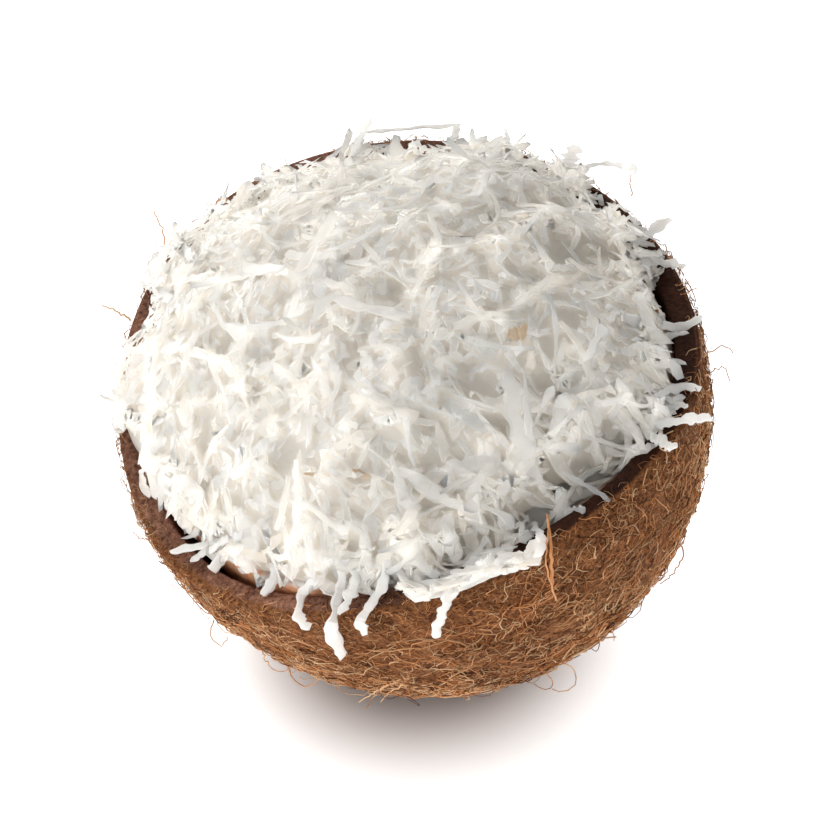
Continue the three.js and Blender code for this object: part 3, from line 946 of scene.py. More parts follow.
# %% Fibre mat
coir = make_coir_material()
FIBRE_KINDS = {
    "close fibre": {"seed": 11, "lengths": (8, 18), "curl": 0.36, "lift": 0.6, "radius": 0.14},
    "tangled fibre": {"seed": 12, "lengths": (6, 14), "curl": 0.62, "lift": 1.3, "radius": 0.13},
    "fuzz": {"seed": 13, "lengths": (2, 6), "curl": 0.9, "lift": 1.0, "radius": 0.1, "steps": 5},
    "flyaway": {"seed": 14, "lengths": (3, 9), "curl": 0.7, "lift": 2.4, "radius": 0.09},
}
fibre_kinds = {name: make_fibre_kind(name, **shape) for name, shape in FIBRE_KINDS.items()}
CLUMP_SCALE = 130.0
MATS = {
    "coir_mat": {
        "kind": "close fibre", "density": 112000, "spread": 1.5, "sizes": (0.7, 1.15), "seed": 21,
        "ground": {"deepest": 0.99, "shallowest": 0.05, "inset": 0.8},
    },
    "coir_tangle": {
        "kind": "tangled fibre", "density": 172000, "spread": 3.1, "sizes": (0.6, 1.2), "seed": 33,
        "ground": {"deepest": 0.97, "shallowest": 0.07, "inset": 0.7},
    },
    "coir_fuzz": {
        "kind": "fuzz", "density": 260000, "spread": 3.1, "sizes": (0.7, 1.4), "seed": 39,
        "ground": {"deepest": 0.98, "shallowest": 0.012, "inset": 0.6},
    },
    "coir_flyaways": {
        "kind": "flyaway", "density": 22000, "spread": 3.1, "sizes": (0.6, 1.2), "seed": 57,
        "ground": {"deepest": 0.97, "shallowest": 0.1, "inset": 0.5},
    },
    "coir_brim": {
        "kind": "fuzz", "density": 420000, "spread": 1.2, "sizes": (0.6, 1.2), "seed": 45,
        "ground": {"deepest": 0.06, "shallowest": 0.0, "inset": 0.9, "over_edge": 1.3},
    },
}


def make_coir(name):
    """One layer of fibre, from its own settings."""
    mat = MATS[name]
    settings = {
        "Fibres": fibre_kinds[mat["kind"]],
        "Density": float(mat["density"]),
        "Clump Scale": CLUMP_SCALE,
        "Spread": mat["spread"],
        "Smallest": mat["sizes"][0],
        "Largest": mat["sizes"][1],
        "Seed": mat["seed"],
        "Finish": coir,
    }
    return strew_fibres(name, make_fibre_ground(name + " ground", **mat["ground"]), settings)


coir_layers = [make_coir(name) for name in MATS]
for kind in fibre_kinds.values():
    for source in list(kind.objects):
        bpy.data.objects.remove(source)
    bpy.data.collections.remove(kind)

# %% [markdown]
# ## The form of the heap
# The shreds rise in a full dome well above the edge. The dome spreads over the edge on one side and stays
# back from it on the other, where a strip of flesh shows. This is nearly the form of the solid, as one
# function of place, so that shreds can be laid on it anywhere.

# %% Heap form
HEAP_HEIGHT = 25.0
HEAP_SPREAD = 57.0
HEAP_FULLNESS = 2.4
HEAP_LUMP = 1.2
WAVE_X = (0.17, 1.1)
WAVE_Y = (0.19, -0.4)
SLANTED_WAVE = (0.6, 0.31, 0.27)
SPREAD_CHANGES = (
    (-56, 21, -9.5),
    (-78, 16, -4.0),
    (-120, 14, -3.0),
    (-147, 15, -5.0),
    (-168, 10, -2.0),
    (-12, 10, -2.0),
    (6, 14, -5.5),
    (33, 9, -5.0),
    (86, 8, -5.5),
    (95, 45, -3.4),
    (105, 7, -3.5),
    (126, 8, -5.0),
    (159, 8, -5.5),
    (178, 22, 2.0),
)


def heap_spread(turn):
    """How far the heap reaches at a turn."""
    return HEAP_SPREAD * outline(turn) ** 0.5 + local_change(SPREAD_CHANGES, turn)


def low_waves(x, y):
    """Low waves on the heap: crests both ways, and slanted ones over them."""
    crossing = np.sin(x * WAVE_X[0] + WAVE_X[1]) * np.sin(y * WAVE_Y[0] + WAVE_Y[1])
    height, rate_x, rate_y = SLANTED_WAVE
    return crossing + height * np.sin(x * rate_x - y * rate_y)


def heap_height(x, y):
    """The height of the heap's surface: a dome with low waves on it, which ends on the cut edge."""
    turn = np.arctan2(y, x)
    share = np.minimum(1.0, np.hypot(x, y) / heap_spread(turn))
    dome = HEAP_HEIGHT * (1 - share ** HEAP_FULLNESS)
    waves = HEAP_LUMP * low_waves(x, y) * (1 - share ** 4)
    return dome + waves + edge_height(turn) * share ** 2


print("the heap stands", heap_height(0.0, 0.0).round(1), "mm above the middle of the cut edge")

# %% [markdown]
# ## White finishes
# Both finishes of the shreds are one material with other values. Moist coconut lets light in, and it comes
# out again a little way off, warmer than it went in. That spreading stays within one mesh, so the shreds of
# the heap and the core under them are joined into one piece, in which light goes far, and the single strips
# at the edge are another piece, in which it goes less far.

# %% White material
# The warm tone is the shreds' own random tint, and on the core under them it is painted shade of the gaps.
WARM_TONE_AND_PAINTED_SHADE = (0.66, 0.605, 0.527)
MOIST_GLOSS = 0.2
SCATTER_COLOURS = (1.0, 0.95, 0.88)
HEAP_WHITE = {"dark": (0.61, 0.60, 0.577), "light": (0.668, 0.662, 0.644), "clouds": 160.0}
STRIP_WHITE = {"dark": (0.76, 0.745, 0.715), "light": (0.86, 0.85, 0.825), "clouds": 220.0}
HEAP_SCATTER = 0.007
STRIP_SCATTER = 0.0012


def make_white_material(name, white, scatter):
    """Moist white coconut whose tone differs from shred to shred, and in which light spreads by scatter."""
    material, shader = new_material(name, roughness=0.6)
    tone = point_value(material, "tone")
    paint(material, shader, mix_colours(material, tone, uneven(material, **white), WARM_TONE_AND_PAINTED_SHADE))
    shader.subsurface_method = "BURLEY"
    set_sockets(shader, {
        "Subsurface Weight": 1.0,
        "Subsurface Radius": SCATTER_COLOURS,
        "Subsurface Scale": scatter,
        "Specular IOR Level": MOIST_GLOSS,
    })
    return material


# %% [markdown]
# ## Strips of coconut
# A shred is a thin flat ribbon with ragged edges and blunt torn ends, bent and a little twisted. A helper
# turns many paths into ribbons at once: four or six points round each step, with the left and the right edge
# wavering on their own, and the ends thinner and cut off at a slant.

# %% Ribbon helper
PROFILES = {
    4: ((1, -0.4), (0.7, 1), (-0.7, 1), (-1, -0.4)),
    6: ((1, 0), (0.6, 1), (-0.6, 1), (-1, 0), (-0.6, -1), (0.6, -1)),
}
END_BLUNTNESS = (4, 14)
END_NARROWING = 0.4
END_THINNING = 0.6
END_SLANT = 0.7
TAPER = 0.3
RAGGED_LIMITS = (0.35, 1.8)
WAVER_LIKENESS = 0.7
WAVER_EVENING = 1.2


def wavering(rng, count, steps):
    """Random numbers along many strips, each a little like the one before it."""
    plain = rng.normal(size=(count, steps + 1))
    return (plain[:, 1:] + WAVER_LIKENESS * plain[:, :-1]) / WAVER_EVENING


def random_rolls(rng, count, steps, roll, twist):
    """How far each strip is rolled over along its length, in radians: evenly, and twisted end to end."""
    even = rng.normal(0, roll, (count, 1))
    return even + rng.normal(0, twist, (count, 1)) * np.linspace(-1, 1, steps)


def ribbons(paths, ups, widths, thicknesses, rolls, ragged, sides, rng):
    """Points and triangles of thin strips along paths, with their flat faces towards ups."""
    count, steps = paths.shape[:2]
    tangent = unit(np.gradient(paths, axis=1))
    side = unit(np.cross(ups, tangent))
    face = np.cross(tangent, side)
    roll = rolls[..., None]
    across = np.cos(roll) * side + np.sin(roll) * face
    above = np.cos(roll) * face - np.sin(roll) * side
    share = np.linspace(-1, 1, steps)
    blunt = 1 - END_NARROWING * np.abs(share) ** rng.uniform(*END_BLUNTNESS, (count, 1))
    lean = 1 + rng.uniform(-TAPER, TAPER, (count, 1)) * share
    half = 0.5 * widths[:, None] * blunt * lean
    uneven_sizes = [1 + ragged * wavering(rng, count, steps) for part in range(3)]
    left, right, thick = np.clip(uneven_sizes, *RAGGED_LIMITS)
    left, right = left * half, right * half
    at_end = np.abs(share) == 1
    thick = thick * 0.5 * thicknesses[:, None] * (1 - END_THINNING * at_end)
    slant = np.zeros((count, steps))
    slant[:, 0] = rng.uniform(-END_SLANT, END_SLANT, count)
    slant[:, -1] = rng.uniform(-END_SLANT, END_SLANT, count)
    corners = []
    for sideways, upwards in PROFILES[sides]:
        reach = sideways * (left if sideways > 0 else right)
        shift = across * reach[..., None] + tangent * (slant * reach)[..., None]
        corners.append(paths + shift + above * (upwards * thick)[..., None])
    body = np.stack(corners, 2).reshape(count, steps * sides, 3)
    points = np.concatenate([body, paths[:, :1], paths[:, -1:]], 1)
    pattern = closed_skin(list(body[0].reshape(steps, sides, 3)), paths[0, 0], paths[0, -1])[1]
    triangles = pattern[None] + (np.arange(count) * points.shape[1])[:, None, None]
    return points.reshape(-1, 3), triangles.reshape(-1, 3), points.shape[1]


# %% [markdown]
# ## Dropping the shreds
# A heap looks right when every shred lies on others, with gaps and shadows between. So we let them drop
# one by one. A grid keeps the height of what already lies there. Each new shred comes to rest like a stiff
# stick on the two highest points under it, sags a little, and raises the grid. New ones fall where the
# heap is still too low, so the form comes out right by itself.

# %% The ground under the shreds
CELL = 0.7
GRID_HALF = 70.0
GRID_AXIS = np.arange(-GRID_HALF, GRID_HALF + CELL, CELL)
NOTHING = -60.0
OVERHANG = 5.0
OVERHANG_CHANGES = (
    (-132, 38, -5.2),
    (-171, 6, -3.5),
    (180, 12, 2.5),
    (-55, 12, -7.0),
    (-12, 10, -6.0),
    (3, 6, -6.0),
    (33, 5, -3.0),
    (84, 5, -5.5),
    (104, 5, -5.0),
    (127, 6, -6.0),
    (158, 6, -5.5),
)
BED_DEPTH = 0.5
BED_INDENT = 2.2
FIBRE_BORDER = 0.8
EDGE_LAYER = 0.3


def shred_limit(turn):
    """How far a shred reaches at most: over the cut edge, but not where the edge is seen clear of them."""
    border = SHELL_RADIUS * outline(turn) - SHELL_WALL - SEAM_GAP
    return border + OVERHANG + local_change(OVERHANG_CHANGES, turn)


def past_limit(flat):
    """Whether a flat path reaches further than shreds do."""
    return (np.hypot(*flat.T) > shred_limit(np.arctan2(flat[:, 1], flat[:, 0]))).any()


def ground_under_shreds(x, y):
    """What the first shreds fall on: a bed, the flesh, the cut edge, and nothing outside."""
    turn = np.arctan2(y, x)
    reach = np.hypot(x, y)
    outer = SHELL_RADIUS * outline(turn)
    edge = edge_height(turn)
    ground = np.full(x.shape, NOTHING)
    ground = np.where(reach < outer + FIBRE_BORDER, edge + EDGE_CROWN + EDGE_LAYER, ground)
    ground = np.where(reach < outer - SHELL_WALL, edge - flesh_drop(turn), ground)
    bed = heap_height(x, y) - BED_DEPTH
    inside = reach < heap_spread(turn) - BED_INDENT
    return np.where(inside, np.maximum(bed, ground), ground)


def grid_index(values):
    """The grid line nearest to each value."""
    return np.clip(np.rint((values + GRID_HALF) / CELL).astype(int), 0, len(GRID_AXIS) - 1)


grid_x, grid_y = np.meshgrid(GRID_AXIS, GRID_AXIS, indexing="ij")
grid_turn, grid_reach = np.arctan2(grid_y, grid_x), np.hypot(grid_x, grid_y)
heap_heights = ground_under_shreds(grid_x, grid_y)
print("the grid has", heap_heights.size, "places")

# %% Drop
MOST_LIFT = 3.5
MOST_LACK = 5.0
STEEPEST = 1.3
LOWEST = -20.0
DEEPEST_SAG = 6.0
LEAST_GAP = 0.03
LEAST_TARGET = -50.0
NARROW_MORE_OFTEN = 1.6
SAG_WINDOW = 5
TINY = 1e-6
TRIES_FOR_EACH = 3
TRIES_BETWEEN_LOOKS = 30
ACROSS_SHRED = (-0.45, 0.0, 0.45)


def resting_line(along, need):
    """Height and slope of the lowest stick that lies on all needs, balanced about its middle."""
    before, after = along < -TINY, along > TINY
    s, t = along[before][:, None], along[after][None, :]
    g, h = need[before][:, None], need[after][None, :]
    height = (g * t - h * s) / (t - s)
    best = np.unravel_index(height.argmax(), height.shape)
    middle = need[~before & ~after].max(initial=-np.inf)
    if height[best] >= middle:
        return height[best], (h[0, best[1]] - g[best[0], 0]) / (t[0, best[1]] - s[best[0], 0])
    least = ((h - middle) / t).max()
    most = ((g - middle) / s).min()
    return middle, 0.5 * (least + most)


def flat_path(heading, stride):
    """A path on the plane whose steps follow a heading."""
    return np.cumsum(np.stack([np.cos(heading), np.sin(heading)], -1), axis=0) * stride


def drop_shreds(heights, target, kind):
    """Lets shreds of a kind fall on the heap until enough lie there, one end of each a little lifted."""
    rng = np.random.default_rng(kind["drop seed"])
    share = np.linspace(-0.5, 0.5, kind["steps"])
    laid, tries = [], 0
    while len(laid) < kind["count"] and tries < kind["count"] * TRIES_FOR_EACH:
        if tries % TRIES_BETWEEN_LOOKS == 0:
            lack = np.clip(target - heights, 0.0, MOST_LACK) + kind["anywhere"] * (target > LEAST_TARGET)
            chances = np.cumsum(lack.ravel())
        tries += 1
        cell = np.searchsorted(chances, rng.random() * chances[-1])
        length = rng.uniform(*kind["length"])
        width = kind["width"][0] + rng.random() ** NARROW_MORE_OFTEN * np.ptp(kind["width"])
        thickness = rng.uniform(*kind["thickness"])
        heading = rng.uniform(0, 2 * math.pi) + rng.normal(0, kind["bend"]) * 2 * share
        along = length * share
        flat = flat_path(heading, length / (kind["steps"] - 1))
        flat += np.array((grid_x.ravel()[cell], grid_y.ravel()[cell])) - flat.mean(0)
        if past_limit(flat):
            continue
        sideways = np.stack([-np.sin(heading), np.cos(heading)], -1) * width
        lines = [flat + sideways * share_across for share_across in ACROSS_SHRED]
        under = np.max([heights[grid_index(p[:, 0]), grid_index(p[:, 1])] for p in lines], axis=0)
        curl = rng.normal(0.0, kind["curl"]) * (2 * share) ** 2
        height, slope = resting_line(along, under - curl)
        if abs(slope) > STEEPEST or height < LOWEST:
            continue
        stiff = height + slope * along + curl
        ground = np.maximum(under, stiff - DEEPEST_SAG)
        padded = np.pad(ground, SAG_WINDOW // 2, mode="edge")
        soft = np.convolve(padded, np.ones(SAG_WINDOW) / SAG_WINDOW, mode="valid")
        rest = np.maximum(stiff * (1 - kind["sag"]) + soft * kind["sag"], under + LEAST_GAP)
        rest = rest + min(rng.exponential(kind["lift"]), MOST_LIFT) * (share + 0.5) ** 2
        for p in lines:
            i, j = grid_index(p[:, 0]), grid_index(p[:, 1])
            gain = kind["pack"] * (rest + thickness - heights[i, j])
            heights[i, j] = heights[i, j] + np.maximum(gain, 0.0)
        laid.append((np.column_stack([flat, rest + 0.5 * thickness]), width, thickness))
    return laid


# %% From laid shreds to a mesh
SLOPE_STEP = 0.8
SLOPE_LIMIT = 1.2
SHRED_SIDES = 4
SHRED_TONES = (1.2, 5.0)


def surface_up(path):
    """A direction square to the heap along a path, for ribbons to lie flat on."""
    x, y = path[:, 0], path[:, 1]
    slope_x = (heap_height(x + SLOPE_STEP, y) - heap_height(x - SLOPE_STEP, y)) / (2 * SLOPE_STEP)
    slope_y = (heap_height(x, y + SLOPE_STEP) - heap_height(x, y - SLOPE_STEP)) / (2 * SLOPE_STEP)
    down_x, down_y = (-np.clip(slope, -SLOPE_LIMIT, SLOPE_LIMIT) for slope in (slope_x, slope_y))
    return unit(np.stack([down_x, down_y, np.ones_like(x)], -1))


def shred_mesh(laid, kind):
    """Points, triangles and tones of many laid shreds."""
    rng = np.random.default_rng(kind["shape seed"])
    paths = np.stack([path for path, width, thickness in laid])
    widths = np.array([width for path, width, thickness in laid])
    thicknesses = np.array([thickness for path, width, thickness in laid])
    count, steps = paths.shape[:2]
    ups = np.stack([surface_up(path) for path in paths])
    rolls = random_rolls(rng, count, steps, kind["roll"], kind["roll"])
    points, triangles, each = ribbons(
        paths, ups, widths, thicknesses, rolls, kind["ragged"], SHRED_SIDES, rng
    )
    return points, triangles, np.repeat(rng.beta(*SHRED_TONES, count), each)


# %% Kinds of shreds
LONG_SHREDS = {
    "count": 700,
    "length": (5, 13),
    "width": (0.8, 2.6),
    "thickness": (0.2, 0.38),
    "bend": 0.24,
    "curl": 0.15,
    "sag": 0.9,
    "lift": 0.1,
    "roll": 0.16,
    "ragged": 0.36,
    "pack": 0.7,
    "steps": 8,
    "anywhere": 0.02,
    "drop seed": 41,
    "shape seed": 51,
}
SHORT_SHREDS = {
    **LONG_SHREDS,
    "count": 1100,
    "length": (2, 7),
    "width": (0.8, 2.3),
    "lift": 0.15,
    "roll": 0.2,
    "ragged": 0.42,
    "steps": 6,
    "drop seed": 42,
    "shape seed": 52,
}
LOOSE_SHREDS = {
    **LONG_SHREDS,
    "count": 190,
    "length": (6, 15),
    "width": (0.7, 2.2),
    "bend": 0.3,
    "curl": 0.6,
    "sag": 0.5,
    "lift": 1.1,
    "roll": 0.4,
    "pack": 0.3,
    "anywhere": 1.0,
    "drop seed": 43,
    "shape seed": 53,
}
BORDER_SHREDS = {
    **SHORT_SHREDS,
    "count": 560,
    "length": (3, 9),
    "lift": 0.7,
    "anywhere": 0.3,
    "drop seed": 44,
    "shape seed": 54,
}
CRUMBS = {
    **SHORT_SHREDS,
    "count": 500,
    "length": (1.2, 3),
    "width": (0.7, 1.8),
    "curl": 0.3,
    "roll": 0.5,
    "pack": 0.4,
    "steps": 4,
    "anywhere": 1.0,
    "drop seed": 45,
    "shape seed": 55,
}

# %% The heap, layer by layer
BORDER_WIDTH = 5.0
BORDER_RISE = 1.4
HEAP_EXTRA = 0.2
CLUMP_HEIGHT = 0.8
CLUMP_SIZE = 12
CLUMP_SEED = 16
inside_heap = grid_reach < heap_spread(grid_turn)
clumps = CLUMP_HEIGHT * lumps(np.stack([grid_x, grid_y, 0 * grid_x], -1), CLUMP_SIZE, CLUMP_SEED)
heap_target = np.where(inside_heap, heap_height(grid_x, grid_y) + HEAP_EXTRA + clumps, NOTHING)


def lacking():
    """How much the heap still lacks on average, in millimetres."""
    return np.clip(heap_target - heap_heights, 0, None)[inside_heap].mean().round(2)


long_layer = drop_shreds(heap_heights, heap_target, LONG_SHREDS)
print(len(long_layer), "long shreds; the heap still lacks", lacking(), "mm")
short_layer = drop_shreds(heap_heights, heap_target, SHORT_SHREDS)
print(len(short_layer), "short shreds; the heap still lacks", lacking(), "mm")
at_border = (grid_reach > heap_spread(grid_turn) - BORDER_WIDTH) & (grid_reach < shred_limit(grid_turn))
border_target = np.where(at_border, heap_heights + BORDER_RISE, NOTHING)
border_layer = drop_shreds(heap_heights, border_target, BORDER_SHREDS)
print(len(border_layer), "shreds along the border of the heap")
packed_heights = heap_heights.copy()
loose_layer = drop_shreds(heap_heights, heap_target, LOOSE_SHREDS)
print(len(loose_layer), "loose shreds on top")
crumb_layer = drop_shreds(heap_heights, heap_target, CRUMBS)
print(len(crumb_layer), "crumbs")

# %% [markdown]
# ## The fringe
# Along its border the heap isn't tidy: many shreds lie with one end on the heap and stick out over the edge
# with the other. Such a shred is laid as a stick from its inner end, just steep enough to clear what lies
# under it, and a few are tipped up further.

# %% Fringe
FRINGE = {
    **SHORT_SHREDS,
    "count": 95,
    "length": (4, 11),
    "width": (0.8, 2.2),
    "bend": 0.3,
    "roll": 0.4,
    "drop seed": 46,
    "shape seed": 56,
}
FRINGE_ROOT = 5.0
FRINGE_TURN = 0.9
FRINGE_TIP = 0.1
FRINGE_STEEPEST = 0.5


def lay_fringe(heights, kind):
    """Shreds that stick out over the border of the heap, each with its inner end on it."""
    rng = np.random.default_rng(kind["drop seed"])
    share = np.linspace(0, 1, kind["steps"])
    laid = []
    while len(laid) < kind["count"]:
        turn = rng.uniform(-math.pi, math.pi)
        length = rng.uniform(*kind["length"])
        root = heap_spread(turn) - rng.uniform(0, FRINGE_ROOT)
        heading = turn + rng.normal(0, FRINGE_TURN) + rng.normal(0, kind["bend"]) * share
        flat = flat_path(heading, length) / len(share)
        flat = flat + root * np.array((math.cos(turn), math.sin(turn)))
        if past_limit(flat):
            continue
        under = heights[grid_index(flat[:, 0]), grid_index(flat[:, 1])]
        along = length * share
        slope = ((under - under[0])[1:] / along[1:]).max() + rng.exponential(FRINGE_TIP)
        if abs(slope) > FRINGE_STEEPEST:
            continue
        thickness = rng.uniform(*kind["thickness"])
        rest = under[0] + thickness + slope * along
        laid.append((np.column_stack([flat, rest]), rng.uniform(*kind["width"]), thickness))
    return laid


fringe_layer = lay_fringe(heap_heights, FRINGE)
print(len(fringe_layer), "shreds in the fringe")

# %% [markdown]
# ## The core of the heap
# Between the upper shreds one doesn't look into black gaps, but on more shreds below. They needn't be
# modelled. The grid knows how high the shreds lie, so a soft skin drawn just under their tops fills the
# gaps like the wet crumb of a real heap, coloured a warm beige as painted shade of the gaps. Along its
# border the skin is drawn down onto the flesh or the cut, so that it isn't seen from the side, and below
# it goes on to the bottom of the flesh.

# %% Core
CORE_COLUMNS = 200
CORE_RINGS = 56
CORE_INNERMOST = 0.99
CORE_WALL_ROWS = 12
CORE_BELOW = 0.05
CORE_BED = 3.0
CORE_SOFTENING = 1
CORE_BORDER = 2.0
CORE_SKIRT = 5.0
CORE_FOOT_SHARE = 0.7
CORE_RELIEF = ((0.15, 1.8, 15),)
# The core's tone turns it warm beige: painted shade of the gaps between the shreds.
CORE_PAINTED_SHADE_TONE = 0.75
HEAP_GAP = 0.4
CORE_CLEARANCE = 0.35


def soften(grid, reach):
    """The grid with every height averaged with those around it."""
    shifts = range(-reach, reach + 1)
    return np.mean([np.roll(grid, (i, j), (0, 1)) for i in shifts for j in shifts], axis=0)


def height_between(grid, x, y):
    """The height of a grid at places between its lines."""
    across, along = (np.clip((v + GRID_HALF) / CELL, 0, len(GRID_AXIS) - 2) for v in (x, y))
    i, j = across.astype(int), along.astype(int)
    u, v = across - i, along - j
    near = grid[i, j] * (1 - v) + grid[i, j + 1] * v
    far = grid[i + 1, j] * (1 - v) + grid[i + 1, j + 1] * v
    return near * (1 - u) + far * u


def core_mesh():
    """The skin under the upper shreds, which also fills the hollow of the flesh."""
    turn = turns_round(CORE_COLUMNS)
    inset = SHELL_WALL + SEAM_GAP + FLESH_WALL + HEAP_GAP
    drop = flesh_drop(turn) + FLESH_ROUNDING
    rings = [wall_point(turn, down, inset, drop) for down in np.linspace(NEAR_BOTTOM, 0.0, CORE_WALL_ROWS)]
    rings.append(wall_point(turn, 0.0, inset, -edge_rise(turn) - CORE_CLEARANCE))
    bed = np.where(inside_heap, heap_height(grid_x, grid_y) - CORE_BED, NOTHING)
    tops = soften(np.maximum(packed_heights, bed), CORE_SOFTENING)
    flesh_border = SHELL_RADIUS * outline(turn) - SHELL_WALL - SEAM_GAP - local_change(CREVICES, turn)
    widest = np.maximum(heap_spread(turn) - BED_INDENT, flesh_border - CORE_BORDER)
    widest = np.minimum(widest, shred_limit(turn))
    carrier = np.where(widest > flesh_border, EDGE_CROWN, -flesh_drop(turn))
    foot = edge_height(turn) + carrier + CORE_CLEARANCE
    for out in np.cos(np.linspace(0, CORE_INNERMOST, CORE_RINGS) * math.pi / 2):
        x, y = out * widest * np.cos(turn), out * widest * np.sin(turn)
        closing = np.clip((out - 1) * widest / CORE_SKIRT + 1, 0, 1) ** 2
        height = (height_between(tops, x, y) - CORE_BELOW) * (1 - closing) + foot * closing
        height = height + relief(np.stack([x, y, height], -1), CORE_RELIEF)
        if out > CORE_FOOT_SHARE:
            height = np.maximum(height, foot)
        rings.append(np.stack([x, y, height], -1))
    top = np.array((0.0, 0.0, height.mean()))
    points, triangles = closed_skin(rings, bottom_point(inset), top)
    return points, triangles, np.full(len(points), CORE_PAINTED_SHADE_TONE)


def joined(meshes):
    """Several meshes of points, triangles and tones as one."""
    starts = np.cumsum([0] + [len(points) for points, triangles, tones in meshes])
    points, triangles, tones = zip(*meshes)
    moved = [corners + start for corners, start in zip(triangles, starts)]
    return np.concatenate(points), np.concatenate(moved), np.concatenate(tones)


heap_layers = [
    core_mesh(),
    shred_mesh(long_layer, LONG_SHREDS),
    shred_mesh(short_layer, SHORT_SHREDS),
    shred_mesh(loose_layer, LOOSE_SHREDS),
    shred_mesh(border_layer, BORDER_SHREDS),
    shred_mesh(crumb_layer, CRUMBS),
    shred_mesh(fringe_layer, FRINGE),
]
print("core and shreds have", sum(len(triangles) for points, triangles, tones in heap_layers), "triangles")

# %% [markdown]
# ## Strips that the photograph shows one by one
# Some shreds are seen clearly: strips that hang over the front edge, a long strand that lies along it, and
# ends that stick out over the dark cut. Their places are read off the photograph as pixels. A ray from the
# camera through such a pixel meets the heap, the cut edge or the shell's outside, and that is where the
# strip lies, so it also rests on something when it is seen from another side.

# %% From pixels to places
PHOTO_SIZE = 840
PIXELS_PER_SLOPE = LENS_MM / SENSOR_MM * PHOTO_SIZE
CAMERA_PLACE = LEAN.T @ CAMERA_FROM_EDGE
RAY_SPAN = (230, 480)
RAY_STEPS = 2500
RAY_LENGTHS = np.linspace(*RAY_SPAN, RAY_STEPS)[:, None]
EDGE_ROUNDS = 12
FINE_STEPS = 8
JUST_BEFORE = 1e-9


def photo_direction(pixel):
    """The direction, in the upright half's frame, in which the camera sees a pixel of the photograph."""
    right = (pixel[0] - PHOTO_SIZE / 2) / PIXELS_PER_SLOPE
    up = (PHOTO_SIZE / 2 - pixel[1]) / PIXELS_PER_SLOPE
    ahead, level = math.sin(CAMERA_PITCH), math.cos(CAMERA_PITCH)
    return LEAN.T @ np.array((right, up * level + ahead, up * ahead - level))


def photo_ray(pixel):
    """Places along the line of sight through a pixel, from before the object to behind it."""
    return CAMERA_PLACE + photo_direction(pixel) * RAY_LENGTHS


def on_edge(pixel, rise):
    """Where the pixel's ray passes at a height above the cut edge."""
    direction = photo_direction(pixel)
    height = rise
    for step in range(EDGE_ROUNDS):
        place = CAMERA_PLACE + direction * (height - CAMERA_PLACE[2]) / direction[2]
        height = edge_height(np.arctan2(place[1], place[0])) + rise
    return place


def on_heap(pixel, above):
    """Where the pixel's ray first comes within a distance of the heap."""
    ray = photo_ray(pixel)
    near = ray[:, 2] < heap_heights[grid_index(ray[:, 0]), grid_index(ray[:, 1])] + above
    return ray[near.argmax()]


def on_outside(pixel, gap):
    """Where the pixel's ray meets the shell's outside, with a gap, or where it passes nearest to it."""
    ray = photo_ray(pixel)
    turn = np.arctan2(ray[:, 1], ray[:, 0])
    across = np.hypot(ray[:, 0], ray[:, 1]) / (SHELL_RADIUS * outline(turn) + gap)
    down = (ray[:, 2] + WIDEST_BELOW_EDGE) / (SHELL_DEPTH + gap)
    closeness = np.where(ray[:, 2] < edge_height(turn) + gap, across ** 2 + down ** 2, np.inf)
    inside = closeness < 1
    return ray[inside.argmax() if inside.any() else closeness.argmin()]


LANDINGS = {"heap": on_heap, "edge": on_edge, "outside": on_outside}


def smooth_path(places, steps):
    """A smooth path through a few places, in even steps."""
    places = np.asarray(places, float)
    ghost = np.concatenate([[2 * places[0] - places[1]], places, [2 * places[-1] - places[-2]]])
    share = np.linspace(0, len(places) - 1 - JUST_BEFORE, steps * FINE_STEPS)
    index = share.astype(int)
    t = (share - index)[:, None]
    a, b, c, d = (ghost[index + k] for k in range(4))
    square = 2 * a - 5 * b + 4 * c - d
    cube = 3 * b - 3 * c + d - a
    curve = 0.5 * (2 * b + (c - a) * t + square * t ** 2 + cube * t ** 3)
    length = np.concatenate([[0], np.cumsum(np.linalg.norm(np.diff(curve, axis=0), axis=1))])
    even = np.linspace(0, length[-1], steps)
    return np.stack([np.interp(even, length, curve[:, k]) for k in range(3)], -1)


def seen_path(marks, steps):
    """A path through marks: what the pixel's ray lands on, the pixel, and the distance from that surface."""
    return smooth_path([LANDINGS[landing]((x, y), gap) for landing, x, y, gap in marks], steps)


middle_pixel = (PHOTO_SIZE / 2, PHOTO_SIZE / 2)
print("the middle of the photograph shows the heap at", on_heap(middle_pixel, 0.0).round(1))

# %% [markdown]
# ## How a seen strip is made
# Each strip has a width in millimetres, and marks that it passes through. Its flat side is turned half way
# between straight up and the camera, so that it shows its width from the front, and still lies on the heap
# when it is seen from behind.

# %% Mesh of seen strips
SEEN_STEPS = 22
SEEN_SIDES = 6
SEEN_LIFT = (0, 0, 0.6)
SEEN_ROLL = 0.2
SEEN_TWIST = 0.25
SEEN_TONE = 0.12


def seen_mesh(seen, thickness, ragged, seed):
    """Points, triangles and tones of strips whose places are read off the photograph."""
    rng = np.random.default_rng(seed)
    paths = np.stack([seen_path(marks, SEEN_STEPS) for width, *marks in seen.values()])
    widths = np.array([width for width, *marks in seen.values()])
    count = len(paths)
    ups = np.broadcast_to(unit(unit(CAMERA_PLACE) + SEEN_LIFT), paths.shape)
    rolls = random_rolls(rng, count, SEEN_STEPS, SEEN_ROLL, SEEN_TWIST)
    thicknesses = rng.uniform(*thickness, count)
    points, triangles, each = ribbons(paths, ups, widths, thicknesses, rolls, ragged, SEEN_SIDES, rng)
    return points, triangles, np.repeat(rng.uniform(0.0, SEEN_TONE, count), each)


def make_strips(name, mesh, material):
    """One piece of strips with plain flat faces, which look torn."""
    points, triangles, tones = mesh
    return mesh_object(name, points, triangles, material, {"tone": tones}, smooth=False)


